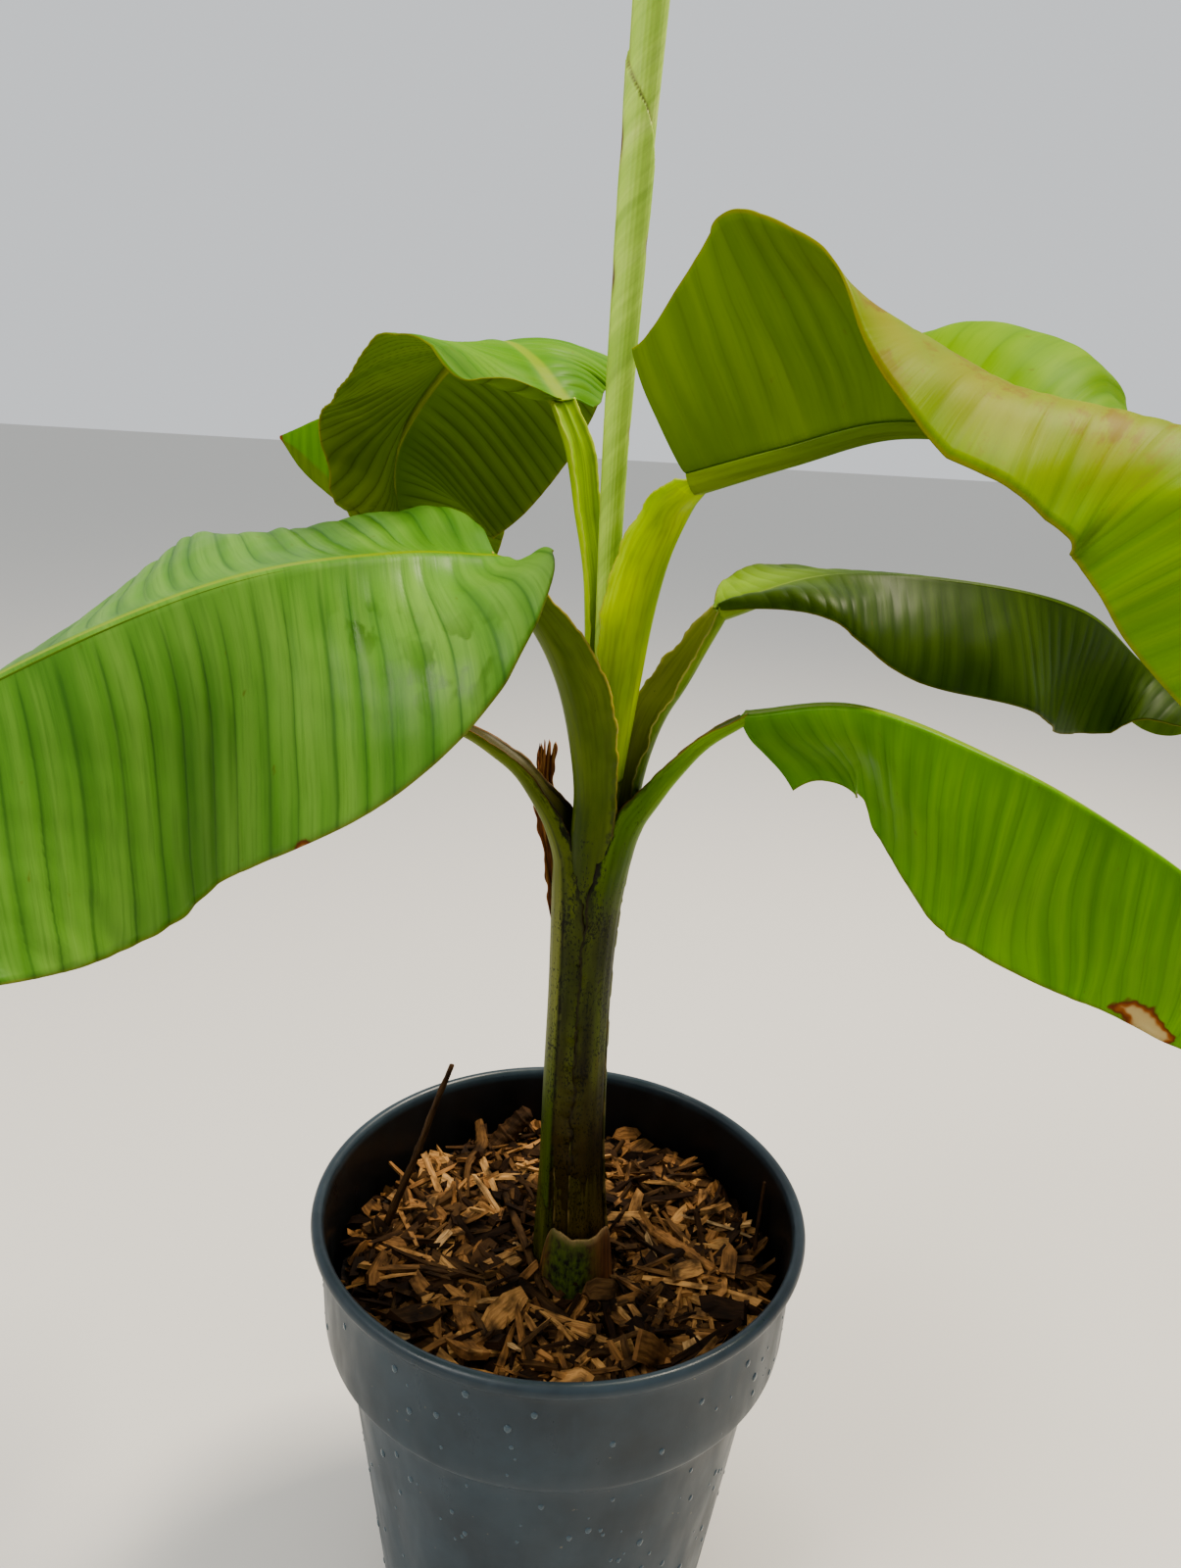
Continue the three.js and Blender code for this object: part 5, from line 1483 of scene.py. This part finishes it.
class PLANT_OT_grow_stem(bpy.types.Operator):
    """Grow the stem, the inner sheath, the cut base and the dry sheath"""
    bl_idname = "plant.grow_stem"
    bl_label = "Grow Stem"

    def execute(self, context):
        settings = context.scene.plant_stem
        make_stem("stem_sheaths", settings, stem_skin("stem_skin", settings))
        inner = sheath_skin("inner_sheath_skin", "#8aa51a", "#a9bf28", "#7d971c", "#b5b548", 0.1)
        points, groups = limb(INNER_SHEATH["path"], INNER_SHEATH["widths"], 0,
                              INNER_SHEATH["flatness"], 48, 60)
        full = np.zeros(len(points))
        make_piece("inner_sheath_skin", points, groups, inner,
                   {"level": points[:, 2] * MM - 0.03, "margin": full,
                               "inner": full, "panel": full, "seam": full},
                   replaces=["inner_sheath"])
        make_cut_base("cut_base", cut_sheath_skin("cut_sheath_skin"))
        make_strip("dry_strip", DRY_SHEATH["path"], DRY_SHEATH["widths"], 0.45, 0.5,
                   dry_fibre("dry_fibre"), 0.3, 110, ["dry_sheath"], 3)
        return {"FINISHED"}


class PLANT_OT_grow_stalks(bpy.types.Operator):
    """Grow the stalk of each leaf out of the stem, and its midrib"""
    bl_idname = "plant.grow_stalks"
    bl_label = "Grow Stalks"

    def execute(self, context):
        for key, leaf in LEAVES.items():
            skin = sheath_skin("stalk_skin_" + key, *STALK_SKINS[key])
            make_stalk("stalk_" + key, leaf, key, skin)
            make_midrib("midrib_" + key, leaf, STALK_SKINS[key])
        return {"FINISHED"}


class PLANT_OT_open_leaves(bpy.types.Operator):
    """Open the blades of the leaves"""
    bl_idname = "plant.open_leaves"
    bl_label = "Open Leaves"

    def execute(self, context):
        settings = context.scene.plant_blade
        for number, (key, leaf) in enumerate(LEAVES.items()):
            tissue = leaf_tissue("leaf_tissue_" + key, leaf)
            make_blade("blade_" + key, leaf, settings, tissue, 100 + 10 * number)
            if key == "2":
                make_curl("blade_2_curl", CURL_2, leaf, settings, tissue)
        return {"FINISHED"}


class PLANT_OT_roll_new_leaf(bpy.types.Operator):
    """Roll the newest leaf into its spear"""
    bl_idname = "plant.roll_new_leaf"
    bl_label = "Roll New Leaf"

    def execute(self, context):
        make_rolled_leaf("rolled_leaf_skin", rolled_tissue("rolled_tissue"))
        return {"FINISHED"}


class PLANT_OT_set_stage(bpy.types.Operator):
    """Set the floor, the lights and the camera"""
    bl_idname = "plant.set_stage"
    bl_label = "Set Stage"

    def execute(self, context):
        settings = context.scene.plant_stage
        scene = context.scene
        mesh = bpy.data.meshes.new("floor")
        reach = 30.0
        corners = [(-reach, -reach, 0), (reach, -reach, 0), (reach, reach, 0), (-reach, reach, 0)]
        mesh.from_pydata(corners, [], [(0, 1, 2, 3)])
        mesh.materials.append(pale_floor("pale_floor", settings))
        floor = bpy.data.objects.new("floor", mesh)
        scene.collection.objects.link(floor)
        world = bpy.data.worlds.new("studio")
        world.use_nodes = True
        sky = world.node_tree.nodes["Background"]
        sky.inputs["Color"].default_value = linear("#eef1f4")
        sky.inputs["Strength"].default_value = 0.75
        scene.world = world
        scene.view_settings.look = "AgX - Medium High Contrast"
        aim = (0.0, 0.0, 0.45)
        lights = [("key_light", (0.9, 0.45, 2.2), 0.6, settings.key, "#fff1dc"),
                  ("fill_light", (-1.3, -0.9, 1.8), 1.0, settings.fill, "#fff8ee")]
        for name, place, size, power, colour in lights:
            data = bpy.data.lights.new(name, "AREA")
            data.size = size
            data.energy = power
            data.color = linear(colour)[:3]
            lamp = bpy.data.objects.new(name, data)
            scene.collection.objects.link(lamp)
            back = np.array(place) - np.array(aim)
            back /= np.linalg.norm(back)
            right = np.cross([0, 0, 1.0], back)
            right /= np.linalg.norm(right)
            turned_to = np.stack([right, np.cross(back, right), back], 1)
            lamp.matrix_world = Matrix.Translation(place) @ Matrix(turned_to.tolist()).to_4x4()
        data = bpy.data.cameras.new("camera")
        data.lens = settings.lens
        data.sensor_width = 36.0
        data.clip_start = 0.02
        data.clip_end = 100.0
        camera = bpy.data.objects.new("camera", data)
        scene.collection.objects.link(camera)
        camera.matrix_world = Matrix.Translation(CAMERA_PLACE) @ Matrix(CAMERA_AXES).to_4x4()
        scene.camera = camera
        return {"FINISHED"}


OPERATORS = (PLANT_OT_mould_pot, PLANT_OT_fill_pot, PLANT_OT_grow_stem, PLANT_OT_grow_stalks,
             PLANT_OT_open_leaves, PLANT_OT_roll_new_leaf, PLANT_OT_set_stage)
SETTINGS = {"plant_pot": PotSettings, "plant_mulch": MulchSettings, "plant_stem": StemSettings,
            "plant_blade": BladeSettings, "plant_stage": StageSettings}


class PLANT_PT_sidebar(bpy.types.Panel):
    """Sizes, colours and steps of the potted plant"""
    bl_label = "Potted Banana Plant"
    bl_idname = "PLANT_PT_sidebar"
    bl_space_type = "VIEW_3D"
    bl_region_type = "UI"
    bl_category = "Plant"

    def draw(self, context):
        for name in SETTINGS:
            box = self.layout.box()
            group = getattr(context.scene, name)
            for key in group.__annotations__:
                box.prop(group, key)
        for operator in OPERATORS:
            self.layout.operator(operator.bl_idname)


def register():
    """Registers the settings, the operators and the panel."""
    for group in SETTINGS.values():
        bpy.utils.register_class(group)
    for operator in OPERATORS:
        bpy.utils.register_class(operator)
    bpy.utils.register_class(PLANT_PT_sidebar)
    for name, group in SETTINGS.items():
        setattr(bpy.types.Scene, name, bpy.props.PointerProperty(type=group))


def unregister():
    """Takes away what register added."""
    for name in SETTINGS:
        delattr(bpy.types.Scene, name)
    bpy.utils.unregister_class(PLANT_PT_sidebar)
    for operator in reversed(OPERATORS):
        bpy.utils.unregister_class(operator)
    for group in reversed(list(SETTINGS.values())):
        bpy.utils.unregister_class(group)


def main():
    """Builds the plant and its stage."""
    register()
    bpy.ops.plant.mould_pot()
    bpy.ops.plant.fill_pot()
    bpy.ops.plant.grow_stem()
    bpy.ops.plant.grow_stalks()
    bpy.ops.plant.open_leaves()
    bpy.ops.plant.roll_new_leaf()
    bpy.ops.plant.set_stage()
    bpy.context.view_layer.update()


if __name__ == "__main__":
    main()
